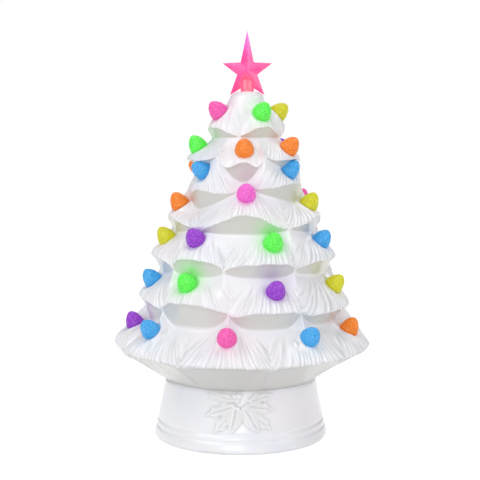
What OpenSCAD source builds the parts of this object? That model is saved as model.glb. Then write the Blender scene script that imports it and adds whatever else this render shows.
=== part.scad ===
// Ceramic tabletop christmas tree with gumdrop bulbs, a faceted star and a battery light unit.
// The tree casting stands on the base casting over a locating ring. The light unit fills the base
// from below. Millimetres, +Z up, origin on the floor under the middle of the base, front at -Y.

/* [Tree casting] */
// Height of the seam between the base casting and the tree casting
seam_z = 52; // [48:0.5:58]
// Height of the tree casting, from the seam to its flat top
tree_h = 251; // [235:1:265]
// Reach of the lowest row of branches from the tree's axis
skirt_r = 112.5; // [108:0.5:118]
// Sideways lean of the casting at its top
lean = 5.8; // [0:0.1:7]
// Thickness of the cast wall, measured level
wall = 5.5; // [4.5:0.1:6]
// Radius of the round knob that holds the star
knob_r = 14.4; // [13.6:0.1:15.2]
// Radius of the opening under the tree
mouth_r = 60.2; // [59:0.1:61]

/* [Base casting] */
// Radius of the base near the floor
foot_r = 76.3; // [75:0.1:79]
// Radius of the base where the tree stands on it
neck_r = 66.5; // [66:0.1:68]
// Thickness of the base wall
base_wall = 5; // [4:0.1:5.5]
// Thickness of the deck under the tree
deck_t = 5; // [4:0.1:6]
// Radius of the hole in the deck that lets the light through
deck_hole_r = 46; // [45:0.1:48]
// Height of the ring that centres the tree
ring_h = 5; // [3:0.1:6]
// Wall of the ring that centres the tree
ring_t = 4.5; // [3.5:0.1:5]
// Height that the holly relief stands out from the base
relief_h = 1.6; // [1:0.1:2]
// Width of the holly relief
relief_w = 62; // [54:1:66]

/* [Bulbs] */
// Radius of a gumdrop bulb
bulb_r = 8.2; // [7:0.1:9]
// Height of a gumdrop bulb above its seat
bulb_h = 13.6; // [11:0.1:16]
// Radius of the peg under a bulb
bulb_peg_r = 2.3; // [1.8:0.1:3]
// Length of the peg under a bulb
bulb_peg_l = 9; // [6:0.5:10]

/* [Star] */
// Width over the two side points of the star
star_w = 43; // [38:0.5:46]
// Height from the lower points of the star to its top point
star_h = 55.6; // [50:0.5:60]
// Thickness of the star at its middle
star_t = 11; // [8:0.5:13]
// Radius of the stem under the star
stem_r = 5.8; // [4.6:0.1:6.4]
// Depth of the stem inside the knob
stem_depth = 13; // [9:0.5:14]

/* [Light unit] */
// Radius of the round bottom plate
plate_r = 67.2; // [66:0.1:67.6]
// Thickness of the bottom plate and of the battery door
plate_t = 2.4; // [2:0.1:3]
// Diameter of an AA cell
cell_d = 14.5; // [14:0.1:14.5]
// Length of an AA cell without its button
cell_l = 49.2; // [48.5:0.1:49.2]
// Outer radius of the frosted light cap
cap_r = 42.5; // [42.1:0.1:43.5]
// Height of the top of the light cap
cap_top_z = 60; // [58:0.5:64]
// Radius of the lamp board
board_r = 37; // [36:0.1:38]
// Radius of one lamp body
lamp_r = 2.5; // [2:0.1:3]
// Travel of the switch knob between off and on
switch_travel = 4; // [3:0.1:5]
// Radius of a rubber foot
rubber_r = 4.5; // [3.5:0.1:6]

/* [Hidden] */
// Fits and gaps
seat_gap = 0.3;
slide_fit = 0.08;
ring_gap = 1;
over = 1;

// Rows of branches, counted from the top. Radii are shares of skirt_r, heights of tree_h.
tier_r_shares = [0.3, 0.431, 0.444, 0.599, 0.724, 0.825, 1];
tier_z_shares = [0.878, 0.767, 0.673, 0.572, 0.432, 0.277, 0.12];
valley_r_shares = [0.135, 0.262, 0.356, 0.428, 0.542, 0.644, 0.726];
valley_z_shares = [0.976, 0.837, 0.735, 0.628, 0.514, 0.376, 0.21];
// How far a row climbs into the creases of the row above, and how rounded that climb is
rise_shares = [0, 0.004, 0.04, 0.045, 0.02, 0.022, 0.056];
bowl_powers = [2, 2, 1.5, 2, 4, 5, 5];
// Where a crease ends: its radius between valley and tip, and its height above the valley
crease_r_shares = [0.55, 0.88, 0.6, 0.55, 0.6, 0.6, 0.88];
crease_z_shares = [0.006, 0.006, 0.006, 0.01, 0.008, 0.01, 0.104];
// Angle of each branch from the front, to the right, in rising order
branch_angles = [
    [-64, 27, 99, 180],
    [-148, -82, -2, 60, 137],
    [-120, -56, 62, 122, 180],
    [-125, -77, 1, 76, 114, 180],
    [-138, -80, -35, 20, 73, 121, 170],
    [-134, -78, -36, 19, 72, 116, 170],
    [-143, -92, -51, -7, 33, 78, 122, 170]];
// Place of the crease in the gap between a branch and the next one
split_shares = [
    [0.58, 0.5, 0.5, 0.5],
    [0.5, 0.65, 0.34, 0.5, 0.5],
    [0.5, 0.47, 0.5, 0.5, 0.5],
    [0.5, 0.48, 0.46, 0.5, 0.5, 0.5],
    [0.5, 0.69, 0.42, 0.24, 0.5, 0.5, 0.5],
    [0.5, 0.69, 0.52, 0.27, 0.5, 0.5, 0.5],
    [0.5, 0.5, 0.5, 0.5, 0.5, 0.5, 0.5, 0.5]];
// How far the lip of a branch hangs down at its sides, and how far the valley under it dips
droop_shares = [
    [0.03, 0.03, 0.03, 0.03],
    [0, 0, 0.018, 0, 0],
    [0, 0, 0, 0, 0],
    [0, 0.02, 0.06, 0.02, 0, 0],
    [0, 0, 0, 0, 0, 0, 0],
    [0, 0, 0, 0, 0, 0, 0],
    [0, 0, 0, 0, 0, 0, 0, 0]];
dip_shares = [
    [0, 0, 0, 0],
    [0, 0, 0.05, 0, 0],
    [0, 0.035, 0.012, 0, 0],
    [0, 0, 0, 0, 0, 0],
    [0, 0, 0, 0, 0, 0, 0],
    [0, 0, 0, 0, 0, 0, 0],
    [0, 0, 0, 0, 0, 0, 0, 0]];
branch_r_shares = [
    [0, 0, 0, 0],
    [0, 0.027, -0.018, 0, 0],
    [0, 0, 0, 0, 0],
    [0, 0, -0.009, 0, 0, 0],
    [0, 0, 0, 0, 0, 0, 0],
    [0, -0.009, -0.009, 0, 0.018, 0, 0],
    [0, 0, -0.009, -0.018, -0.009, 0.009, 0, 0]];
branch_z_shares = [
    [0, 0, 0, 0],
    [0, 0.002, -0.008, 0, 0],
    [0, -0.008, 0.014, 0, 0],
    [0, 0, 0.014, 0, 0, 0],
    [0, 0.006, 0.008, -0.002, -0.002, 0, 0],
    [0, 0.016, 0.024, 0, -0.012, 0, 0],
    [0, 0.016, 0, -0.006, -0.004, 0.002, 0, 0]];
// Powers that shape a branch across: how square it is, how it falls off, and how its lip arches
square_powers = [2.2, 2.2, 2.2, 2.4, 4, 4, 3];
fall_powers = [0.8, 0.8, 0.8, 0.7, 0.6, 0.6, 0.7];
arch_powers = [1.2, 1.6, 1.6, 1.8, 1, 1, 1];
// Outline of a branch down its middle: over the top to the tip, then back under to the valley
upper_shares = [[0, 0], [0.13, 0.17], [0.37, 0.35], [0.64, 0.54], [0.9, 0.78], [1, 1]];
under_shares = [[0.26, 0.14], [0.62, 0.5]];
// Place of the bulb seat along the top of each branch
seat_shares = [
    [0.56, 0.61, 0.59, 0.58],
    [0.54, 0.52, 0.58, 0.58, 0.6],
    [0.32, 0.25, 0.25, 0.35, 0.35],
    [0.42, 0.46, 0.29, 0.46, 0.3, 0.42],
    [0.44, 0.36, 0.36, 0.39, 0.42, 0.44, 0.44],
    [0.44, 0.4, 0.34, 0.45, 0.44, 0.44, 0.44],
    [0.46, 0.44, 0.44, 0.48, 0.53, 0.44, 0.46, 0.46]];
slope_reach_share = 0.14;
bulb_colors = [
    ["hotpink", "lime", "gold", "dodgerblue"],
    ["hotpink", "lime", "orange", "orange", "purple"],
    ["orange", "dodgerblue", "dodgerblue", "gold", "lime"],
    ["lime", "orange", "violet", "gold", "hotpink", "purple"],
    ["dodgerblue", "gold", "purple", "lime", "dodgerblue", "orange", "hotpink"],
    ["hotpink", "dodgerblue", "lime", "purple", "gold", "lime", "orange"],
    ["orange", "purple", "dodgerblue", "hotpink", "dodgerblue", "orange", "lime", "gold"]];
row_letters = "abcdefg";

// Mesh of the tree
segs = 80;
tiers = len(tier_r_shares);
uppers = len(upper_shares);
unders = len(under_shares);
stations = uppers + unders;

function wrap(a) = (a + 540) % 360 - 180;
function turn(a) = (a + 720) % 360;
function angle_at(j) = j * 360 / segs - 180;
function branch_count(k) = len(branch_angles[k]);
function gap_after(k, i) = turn(branch_angles[k][(i + 1) % branch_count(k)] - branch_angles[k][i]);
function branch_u(k, i, th) =
    let (n = branch_count(k), before = (i + n - 1) % n, d = wrap(th - branch_angles[k][i]))
    d >= 0 ? d / (gap_after(k, i) * split_shares[k][i])
        : -d / (gap_after(k, before) * (1 - split_shares[k][before]));
function nearest(k, th) =
    [for (i = [0 : branch_count(k) - 1]) if (branch_u(k, i, th) <= 1.0001) i][0];
function across(k, th) = min(1, branch_u(k, nearest(k, th), th));
function fullness(k, u) = pow(max(0, 1 - pow(u, square_powers[k])), fall_powers[k]);

tree_z = seam_z + seat_gap;
top_z = seam_z + tree_h;
function lean_at(z) = lean * max(0, z - seam_z) / tree_h;
function z_at(share) = seam_z + tree_h * share;
function valley_r(k) = k < tiers ? skirt_r * valley_r_shares[k] : neck_r;
function valley_z(k) = k < tiers ? z_at(valley_z_shares[k]) : tree_z;
function tip_r(k, i) = skirt_r * (tier_r_shares[k] + branch_r_shares[k][i]);
function tip_z(k, i) = z_at(tier_z_shares[k] + branch_z_shares[k][i]);
function crease_r(k) = valley_r(k + 1) + (skirt_r * tier_r_shares[k] - valley_r(k + 1)) * crease_r_shares[k];
function crease_lift(k) = tree_h * crease_z_shares[k];
function lerp(a, b, t) = a + (b - a) * t;

// Radius and height where row k starts, under branch i of the row above at share u across it
function start(k, i, u) =
    k == 0 || k == tiers ? [valley_r(k), valley_z(k)]
        : let (climb = pow(u, bowl_powers[k - 1]))
            [lerp(valley_r(k), crease_r(k - 1), climb),
             valley_z(k) + tree_h * lerp(-dip_shares[k - 1][i], rise_shares[k], climb)];

// Nearest branch and share across it at every angle of the mesh
branch_map = [for (k = [0 : tiers - 1]) [for (j = [0 : segs - 1])
    [nearest(k, angle_at(j)), across(k, angle_at(j))]]];

// Radius and height of station s of row k at mesh angle j
function station(k, s, j) =
    let (i = branch_map[k][j][0], u = branch_map[k][j][1], f = fullness(k, u),
         above = branch_map[max(0, k - 1)][j],
         high = start(k, above[0], above[1]),
         low = start(k + 1, i, u),
         tip = [tip_r(k, i), tip_z(k, i) - tree_h * droop_shares[k][i] * pow(u, 2)],
         fold = [crease_r(k), low[1] + crease_lift(k)],
         down = s < uppers,
         q = down ? upper_shares[s] : under_shares[s - uppers],
         t = down ? s / (uppers - 1) : (s - uppers + 1) / (unders + 1),
         from = down ? high : tip,
         to = down ? tip : low,
         middle = [lerp(from[0], to[0], q[0]), lerp(from[1], to[1], q[1])],
         side = down ? lerp(high, fold, t) : lerp(fold, low, t))
    [lerp(side[0], middle[0], f), lerp(side[1], middle[1], pow(f, arch_powers[k]))];
function ring_point(r, z, th) = [r * sin(th) + lean_at(z), -r * cos(th), z];

// Seat of bulb i in row k: its radius and height at share t along the top of the branch
function share_at(t) =
    let (n = uppers - 1, s = min(floor(t * n), n - 1))
    lerp(upper_shares[s], upper_shares[s + 1], t * n - s);
function seat_rz(k, i, t) =
    let (row = max(0, k - 1), th = branch_angles[k][i],
         high = start(k, nearest(row, th), across(row, th)), q = share_at(t))
    [lerp(high[0], tip_r(k, i), q[0]), lerp(high[1], tip_z(k, i), q[1])];
function seat_slope(k, i) =
    let (a = seat_rz(k, i, seat_shares[k][i] - slope_reach_share),
         b = seat_rz(k, i, seat_shares[k][i] + slope_reach_share))
    atan2(a[1] - b[1], b[0] - a[0]);
seat_sink = 1.4;
seat_clear = 0.4;

// Stands its child on a bulb seat, with +Z along the bulb
module at_seat(k, i) {
    p = seat_rz(k, i, seat_shares[k][i]);
    translate(ring_point(p[0], p[1], branch_angles[k][i]))
        rotate([0, 0, branch_angles[k][i] - 90])
            rotate([0, seat_slope(k, i), 0])
                translate([0, 0, -seat_sink])
                    children();
}

// Tree casting
knob_shares = [[0.68, 0], [0.86, 0.25], [1, 0.5]];
knob_drop = top_z - z_at(valley_z_shares[0]);
tree_rings = concat(
    [for (q = knob_shares) [for (j = [0 : segs - 1])
        ring_point(knob_r * q[0], top_z - knob_drop * q[1], angle_at(j))]],
    [for (k = [0 : tiers - 1]) for (s = [0 : stations - 1]) [for (j = [0 : segs - 1])
        let (p = station(k, s, j)) ring_point(p[0], p[1], angle_at(j))]],
    [[for (j = [0 : segs - 1]) ring_point(neck_r, tree_z, angle_at(j))]]);

module tree_surface() {
    n = len(tree_rings);
    points = [for (ring = tree_rings) each ring];
    faces = concat(
        [[for (j = [0 : segs - 1]) j]],
        [for (a = [0 : n - 2]) for (j = [0 : segs - 1])
            let (b = (j + 1) % segs) each [
                [a * segs + j, (a + 1) * segs + j, (a + 1) * segs + b],
                [a * segs + j, (a + 1) * segs + b, a * segs + b]]],
        [[for (j = [segs - 1 : -1 : 0]) (n - 1) * segs + j]]);
    polyhedron(points, faces, convexity = 10);
}

// Hollow of the tree: it follows the valleys from row to row and ends under the knob
skirt_cavity_share = 0.855;
mouth_h = 6;
cavity_top_r = 7.5;
cavity_drop = 3;
stem_ledge = 1.6;
stem_z = top_z - stem_depth;
cavity_outline = concat(
    [[0, tree_z + mouth_h / 2], [mouth_r - over, tree_z + mouth_h / 2]],
    [[skirt_r * skirt_cavity_share, tree_z + crease_lift(tiers - 1) + mouth_h / 2]],
    [for (k = [tiers - 1 : -1 : 1]) [valley_r(k) - wall, valley_z(k)]],
    [[cavity_top_r, stem_z - cavity_drop], [0, stem_z - cavity_drop]]);

module tree_hollow() {
    translate([0, 0, tree_z - over]) cylinder(r = mouth_r, h = mouth_h + 3 * over, $fn = 96);
    translate([0, 0, seam_z]) rotate([0, atan2(lean, tree_h), 0]) translate([0, 0, -seam_z])
        rotate_extrude($fn = 96) polygon(cavity_outline);
}

// Length of the hole behind each bulb, long enough to reach the hollow
hole_l = 20;
module tree_casting() {
    color("white") difference() {
        tree_surface();
        tree_hollow();
        translate([lean, 0, stem_z - seat_gap])
            cylinder(r = stem_r + slide_fit, h = stem_depth + seat_gap + over, $fn = 48);
        translate([lean, 0, stem_z - cavity_drop - over])
            cylinder(r = stem_r - stem_ledge, h = cavity_drop + over, $fn = 48);
        for (k = [0 : tiers - 1]) for (i = [0 : branch_count(k) - 1]) at_seat(k, i) {
            translate([0, 0, -hole_l]) cylinder(r = bulb_peg_r + slide_fit, h = hole_l + over, $fn = 24);
            cylinder(r = bulb_r + seat_clear, h = bulb_h, $fn = 48);
        }
    }
}

// Gumdrop bulb: a round dome that narrows upwards, on a peg
dome_power = 1.9;
dome_round_power = 0.62;
dome_foot_share = 0.96;
dome_steps = 12;
dome_outline = concat(
    [[0, 0], [bulb_r * dome_foot_share, 0]],
    [for (i = [1 : dome_steps]) let (t = i / dome_steps)
        [bulb_r * pow(1 - pow(t, dome_power), dome_round_power), bulb_h * t]]);
module bulb(k, i) {
    color(bulb_colors[k][i]) at_seat(k, i) translate([0, 0, seat_gap]) {
        rotate_extrude($fn = 48) polygon(dome_outline);
        translate([0, 0, -bulb_peg_l]) cylinder(r = bulb_peg_r, h = bulb_peg_l + over, $fn = 24);
    }
}

// Star: five faceted points on a round stem, shares of its width and height
star_outline_shares = [[0, 1], [0.134, 0.51], [0.5, 0.495], [0.204, 0.318], [0.351, 0],
    [0, 0.17], [-0.351, 0], [-0.204, 0.318], [-0.5, 0.495], [-0.134, 0.51]];
star_middle_share = 0.392;
star_edge_t = 0.8;
star_sink_share = 0.45;
star_z = top_z - knob_drop * star_sink_share;
stem_top_share = 0.24;
module star_topper() {
    n = len(star_outline_shares);
    edge = [for (side = [-1, 1]) for (q = star_outline_shares)
        [star_w * q[0], side * star_edge_t / 2, star_h * q[1]]];
    middle = [for (side = [-1, 1]) [0, side * star_t / 2, star_h * star_middle_share]];
    faces = concat(
        [for (i = [0 : n - 1]) let (b = (i + 1) % n) each [
            [2 * n, i, b],
            [2 * n + 1, n + b, n + i],
            [i, n + i, n + b],
            [i, n + b, b]]]);
    color("deeppink") translate([lean, 0, 0]) {
        translate([0, 0, star_z]) polyhedron(concat(edge, middle), faces, convexity = 6);
        translate([0, 0, stem_z])
            cylinder(r = stem_r, h = star_z + star_h * stem_top_share - stem_z, $fn = 48);
    }
}

// Base casting: a flared foot with two turned grooves, a deck, a centring ring and a holly relief
foot_gap = 0.8;
foot_edge = 2.4;
base_curve_share = 0.44;
curve_steps = 10;
groove_r = 1.7;
groove_sink_share = 0.5;
groove_high_z = 16.5;
groove_low_z = 10.8;
function base_curve(t) =
    let (a = [foot_r, 2 * foot_edge], c = [neck_r, seam_z],
         b = [lerp(neck_r, foot_r, base_curve_share), lerp(a[1], c[1], 0.5)])
    [for (i = [0, 1]) lerp(lerp(a[i], b[i], t), lerp(b[i], c[i], t), t)];
base_side = [for (i = [0 : curve_steps]) base_curve(i / curve_steps)];
function base_r_at(z) = lookup(z, [for (p = base_side) [p[1], p[0]]]);
ledge_w = 2.5;
ledge_h = 4;
rubber_h = 2.3;
plate_top_z = rubber_h + plate_t;
ledge_z = plate_top_z + seat_gap;
ring_r = mouth_r - ring_gap;
deck_z = seam_z - deck_t;
module base_shell() {
    rotate_extrude($fn = 96) polygon(concat(
        [[foot_r - foot_gap, foot_gap], [foot_r, foot_gap + foot_edge]],
        base_side,
        [[ring_r, seam_z], [ring_r, seam_z + ring_h], [ring_r - ring_t, seam_z + ring_h],
         [ring_r - ring_t, seam_z], [deck_hole_r, seam_z], [deck_hole_r, deck_z],
         [neck_r - base_wall, deck_z],
         [base_r_at(ledge_z + 2 * ledge_h) - base_wall, ledge_z + 2 * ledge_h],
         [plate_r - ledge_w, ledge_z + ledge_h], [plate_r - ledge_w, ledge_z],
         [plate_r + seat_gap, ledge_z], [plate_r + seat_gap, foot_gap]]));
}

// Holly sprig: leaves and berries that stand out from the front of the base
sprig_x = -3;
sprig_z = 45.5;
leaf_angles = [174, 200, 224, 258, 296, 324, 348];
leaf_length_shares = [0.42, 0.38, 0.42, 0.36, 0.4, 0.42, 0.44];
leaf_width_share = 0.4;
leaf_start_share = 0.06;
leaf_outline_shares = [[0, 0.08], [0.14, 0.5], [0.24, 0.36], [0.38, 1], [0.5, 0.58], [0.64, 0.8],
    [0.75, 0.36], [0.86, 0.4], [1, 0]];
berry_r = 3;
berry_rise = 1;
berry_places = [[-0.9, 1], [0.9, 1], [0, -0.4]];
module leaf(l) {
    half = l * leaf_width_share / 2;
    polygon(concat(
        [for (q = leaf_outline_shares) [l * q[0], half * q[1]]],
        [for (i = [len(leaf_outline_shares) - 2 : -1 : 0]) let (q = leaf_outline_shares[i])
            [l * q[0], -half * q[1]]]));
}
module relief() {
    intersection() {
        rotate_extrude($fn = 96) polygon(concat(
            [for (p = base_side) [p[0] + relief_h, p[1]]],
            [for (i = [curve_steps : -1 : 0]) [base_side[i][0] - over, base_side[i][1]]]));
        rotate([90, 0, 0]) linear_extrude(foot_r + relief_h) translate([sprig_x, sprig_z])
            for (i = [0 : len(leaf_angles) - 1]) rotate(leaf_angles[i])
                translate([relief_w * leaf_start_share, 0]) leaf(relief_w * leaf_length_shares[i]);
    }
    for (q = berry_places)
        let (z = sprig_z + berry_r * q[1])
        translate([sprig_x + berry_r * q[0], -base_r_at(z) - relief_h + berry_r - berry_rise, z])
            sphere(r = berry_r, $fn = 32);
}
module base_casting() {
    color("white") {
        difference() {
            base_shell();
            for (z = [groove_high_z, groove_low_z]) rotate_extrude($fn = 96)
                translate([base_r_at(z) + groove_r * groove_sink_share, z]) circle(r = groove_r, $fn = 32);
        }
        relief();
    }
}

// Battery bay: three cells side by side, alternately turned, over the door
cell_gap = 0.4;
contact_t = 0.5;
spring_l = 4.5;
button_l = 1.3;
button_r = 2.6;
tray_t = 1.6;
door_gap = 0.4;
cell_pitch = cell_d + cell_gap;
cells = 3;
bay_w = cells * cell_d + (cells + 1) * cell_gap;
bay_l = 2 * contact_t + spring_l + cell_l + button_l + 2 * seat_gap;
cell_z = plate_top_z + seat_gap + cell_d / 2;
roof_z = cell_z + cell_d / 2 + door_gap;
roof_top_z = roof_z + tray_t;

// Door: it turns on a steel pin beside the bay, and one captive screw holds it shut
barrel_r = 3.1;
barrel_w = 34;
hinge_gap = 1.2;
pin_r = 0.9;
ear_w = 3.5;
hinge_x = -(bay_w / 2 + tray_t + barrel_r + door_gap);
hinge_z = rubber_h + barrel_r;
tab_w = 10;
boss_r = 3.1;
boss_h = 5.2;
screw_x = bay_w / 2 + tray_t + boss_r;
screw_r = 1.25;
head_r = 2.3;
head_h = 1.2;
tab_l = screw_x - bay_w / 2 + head_r + seat_gap;
screw_tip_z = plate_top_z + seat_gap + boss_h - tray_t / 2;

// Lamp board over the bay, on four posts
post_r = 3;
post_h = 2.5;
post_inset = 2;
post_x = bay_w / 2 + tray_t - post_r - post_inset;
post_y = bay_l / 2 + tray_t - post_r - 2 * post_inset;
board_t = 1.6;
board_z = roof_top_z + post_h;
board_top_z = board_z + board_t;
small_screw_r = 1.1;
small_screw_l = 5;
small_head_r = 2.2;
small_head_h = 1.5;

// Switch behind the bay
switch_w = 12;
switch_d = 5.4;
switch_y = bay_l / 2 + 2 * tray_t + switch_d / 2;
switch_h = 6.5;
knob_w = 3.6;
knob_d = 2.6;
knob_deep = 2;
slider_w = 2;
slider_d = 1.4;
slider_h = 2.4;
cap_t = 1.5;
cap_groove = 0.9;
foot_circle_r = 55;
feet = 4;

module box_at(x0, x1, y0, y1, z0, z1) {
    translate([x0, y0, z0]) cube([x1 - x0, y1 - y0, z1 - z0]);
}
module each_post() {
    for (x = [-post_x, post_x]) for (y = [-post_y, post_y]) translate([x, y, 0]) children();
}
tag_w = 3;
tag_places = [[-1, -1], [1, -1]];
module each_tag() {
    for (q = tag_places) translate([q[0] * cell_pitch, q[1] * (bay_l / 2 - contact_t / 2), 0]) children();
}
module bottom_plate() {
    ear_y = barrel_w / 2 + door_gap;
    color("whitesmoke") difference() {
        union() {
            translate([0, 0, rubber_h]) cylinder(r = plate_r, h = plate_t, $fn = 96);
            box_at(-bay_w / 2 - tray_t, bay_w / 2 + tray_t, -bay_l / 2 - tray_t, bay_l / 2 + tray_t,
                rubber_h, roof_top_z);
            for (side = [-1, 1]) translate([hinge_x, side * (ear_y + ear_w / 2), 0])
                box_at(-barrel_r, barrel_r + door_gap + tray_t, -ear_w / 2, ear_w / 2,
                    rubber_h, hinge_z + barrel_r);
            translate([screw_x, 0, plate_top_z + seat_gap]) cylinder(r = boss_r, h = boss_h, $fn = 32);
            box_at(bay_w / 2, screw_x, -boss_r, boss_r, plate_top_z + seat_gap,
                plate_top_z + seat_gap + boss_h);
            each_post() translate([0, 0, roof_z]) cylinder(r = post_r, h = board_z - roof_z, $fn = 32);
        }
        box_at(-bay_w / 2, bay_w / 2, -bay_l / 2, bay_l / 2, rubber_h - over, roof_z);
        box_at(hinge_x - barrel_r - door_gap, -bay_w / 2 + over, -ear_y, ear_y,
            rubber_h - over, plate_top_z + seat_gap);
        box_at(hinge_x - barrel_r - door_gap, -bay_w / 2 - tray_t, -ear_y, ear_y,
            rubber_h, hinge_z + 2 * barrel_r);
        box_at(bay_w / 2 - over, bay_w / 2 + tab_l + door_gap, -tab_w / 2 - door_gap,
            tab_w / 2 + door_gap, rubber_h - over, plate_top_z + seat_gap);
        translate([hinge_x, 0, hinge_z]) rotate([90, 0, 0])
            cylinder(r = pin_r + slide_fit / 2, h = barrel_w + 3 * ear_w, center = true, $fn = 24);
        translate([screw_x, 0, rubber_h]) cylinder(r = screw_r + seat_gap, h = roof_z, $fn = 24);
        each_post() translate([0, 0, board_top_z - small_screw_l - seat_gap])
            cylinder(r = small_screw_r + slide_fit, h = small_screw_l, $fn = 24);
        each_tag() box_at(-tag_w / 2 - seat_gap, tag_w / 2 + seat_gap, -contact_t / 2 - seat_gap,
            contact_t / 2 + seat_gap, roof_z - over, roof_top_z + over);
        translate([0, switch_y, rubber_h - over])
            box_at(-(switch_travel + knob_w) / 2 - door_gap, (switch_travel + knob_w) / 2 + door_gap,
                -knob_d / 2 - seat_gap, knob_d / 2 + seat_gap, 0, plate_t + 2 * over);
        translate([0, 0, plate_top_z - cap_groove]) difference() {
            cylinder(r = cap_r + seat_gap, h = cap_groove + over, $fn = 96);
            translate([0, 0, -over])
                cylinder(r = cap_r - cap_t - seat_gap, h = cap_groove + 3 * over, $fn = 96);
        }
    }
}
module battery_door() {
    color("gainsboro") difference() {
        union() {
            box_at(-bay_w / 2 + hinge_gap, bay_w / 2 - door_gap, -bay_l / 2 + door_gap,
                bay_l / 2 - door_gap, rubber_h, plate_top_z);
            box_at(hinge_x, 0, -barrel_w / 2, barrel_w / 2, rubber_h, plate_top_z);
            translate([hinge_x, 0, hinge_z]) rotate([90, 0, 0])
                cylinder(r = barrel_r, h = barrel_w, center = true, $fn = 48);
            box_at(0, bay_w / 2 + tab_l, -tab_w / 2, tab_w / 2, rubber_h, plate_top_z);
        }
        translate([hinge_x, 0, hinge_z]) rotate([90, 0, 0])
            cylinder(r = pin_r + slide_fit, h = barrel_w + 2 * over, center = true, $fn = 24);
        translate([screw_x, 0, rubber_h - over]) {
            cylinder(r = head_r + seat_gap, h = head_h + over + slide_fit, $fn = 32);
            cylinder(r = screw_r + slide_fit, h = plate_t + 2 * over, $fn = 24);
        }
    }
}
module door_pin() {
    color("silver") translate([hinge_x, 0, hinge_z]) rotate([90, 0, 0])
        cylinder(r = pin_r, h = barrel_w + 2 * (door_gap + ear_w) - seat_gap, center = true, $fn = 24);
}
module door_screw() {
    slot_w = 0.6;
    color("silver") translate([screw_x, 0, 0]) difference() {
        union() {
            translate([0, 0, rubber_h]) cylinder(r = head_r, h = head_h, $fn = 32);
            translate([0, 0, rubber_h]) cylinder(r = screw_r, h = screw_tip_z - rubber_h, $fn = 24);
        }
        box_at(-head_r - over, head_r + over, -slot_w / 2, slot_w / 2, rubber_h - over, rubber_h + slot_w);
    }
}
module each_cell() {
    for (i = [0 : cells - 1]) translate([(i - (cells - 1) / 2) * cell_pitch, 0, cell_z])
        rotate([0, 0, 180 * i]) children();
}
cell_y = -bay_l / 2 + contact_t + spring_l + seat_gap;
module battery_cells() {
    color("darkseagreen") each_cell() translate([0, cell_y, 0]) rotate([-90, 0, 0]) {
        cylinder(r = cell_d / 2, h = cell_l, $fn = 48);
        translate([0, 0, cell_l - over]) cylinder(r = button_r, h = button_l + over, $fn = 32);
    }
}
contact_w = 11;
contact_h = 11;
module contact_plates() {
    color("silver") {
        each_cell() for (y = [-bay_l / 2, bay_l / 2 - contact_t])
            box_at(-contact_w / 2, contact_w / 2, y, y + contact_t, -contact_h / 2, contact_h / 2);
        each_tag() box_at(-tag_w / 2, tag_w / 2, -contact_t / 2, contact_t / 2, cell_z, board_z);
    }
}

// Contact spring: a cone of wire, swept round by a formula
wire_r = 0.4;
coil_wide_r = 4.4;
coil_narrow_r = 2.6;
coil_turns = 3.5;
coil_steps = 12;
coil_sides = 6;
function coil_at(t) =
    let (r = lerp(coil_wide_r, coil_narrow_r, t), a = 360 * coil_turns * t)
    [r * cos(a), wire_r + (spring_l - 2 * wire_r) * t, r * sin(a)];
module coil() {
    n = round(coil_turns * coil_steps);
    points = [for (i = [0 : n]) let (t = i / n, c = coil_at(t), a = 360 * coil_turns * t)
        for (m = [0 : coil_sides - 1]) let (b = 360 * m / coil_sides)
            c + wire_r * [cos(b) * cos(a), sin(b), cos(b) * sin(a)]];
    faces = concat(
        [[for (m = [0 : coil_sides - 1]) m]],
        [for (i = [0 : n - 1]) for (m = [0 : coil_sides - 1]) let (b = (m + 1) % coil_sides) each [
            [i * coil_sides + m, (i + 1) * coil_sides + m, (i + 1) * coil_sides + b],
            [i * coil_sides + m, (i + 1) * coil_sides + b, i * coil_sides + b]]],
        [[for (m = [coil_sides - 1 : -1 : 0]) n * coil_sides + m]]);
    polyhedron(points, faces, convexity = 8);
}
module contact_springs() {
    color("silver") each_cell() translate([0, -bay_l / 2 + contact_t, 0]) coil();
}
module lamp_board() {
    color("seagreen") difference() {
        translate([0, 0, board_z]) cylinder(r = board_r, h = board_t, $fn = 64);
        each_post() translate([0, 0, board_z - over])
            cylinder(r = small_screw_r + seat_gap, h = board_t + 2 * over, $fn = 24);
    }
}
module board_screws() {
    color("silver") each_post() {
        translate([0, 0, board_top_z]) cylinder(r = small_head_r, h = small_head_h, $fn = 32);
        translate([0, 0, board_top_z - small_screw_l])
            cylinder(r = small_screw_r, h = small_screw_l + over, $fn = 24);
    }
}
lamp_h = 6;
lamp_flange = 0.4;
lamp_circle_r = 15;
lamps_round = 6;
module lamp() {
    translate([0, 0, board_top_z]) {
        cylinder(r = lamp_r + lamp_flange, h = lamp_flange * 2, $fn = 32);
        cylinder(r = lamp_r, h = lamp_h, $fn = 32);
        translate([0, 0, lamp_h]) sphere(r = lamp_r, $fn = 32);
    }
}
module lamps() {
    color("lightyellow") {
        lamp();
        for (i = [0 : lamps_round - 1]) rotate(360 * i / lamps_round) translate([lamp_circle_r, 0, 0]) lamp();
    }
}

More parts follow.
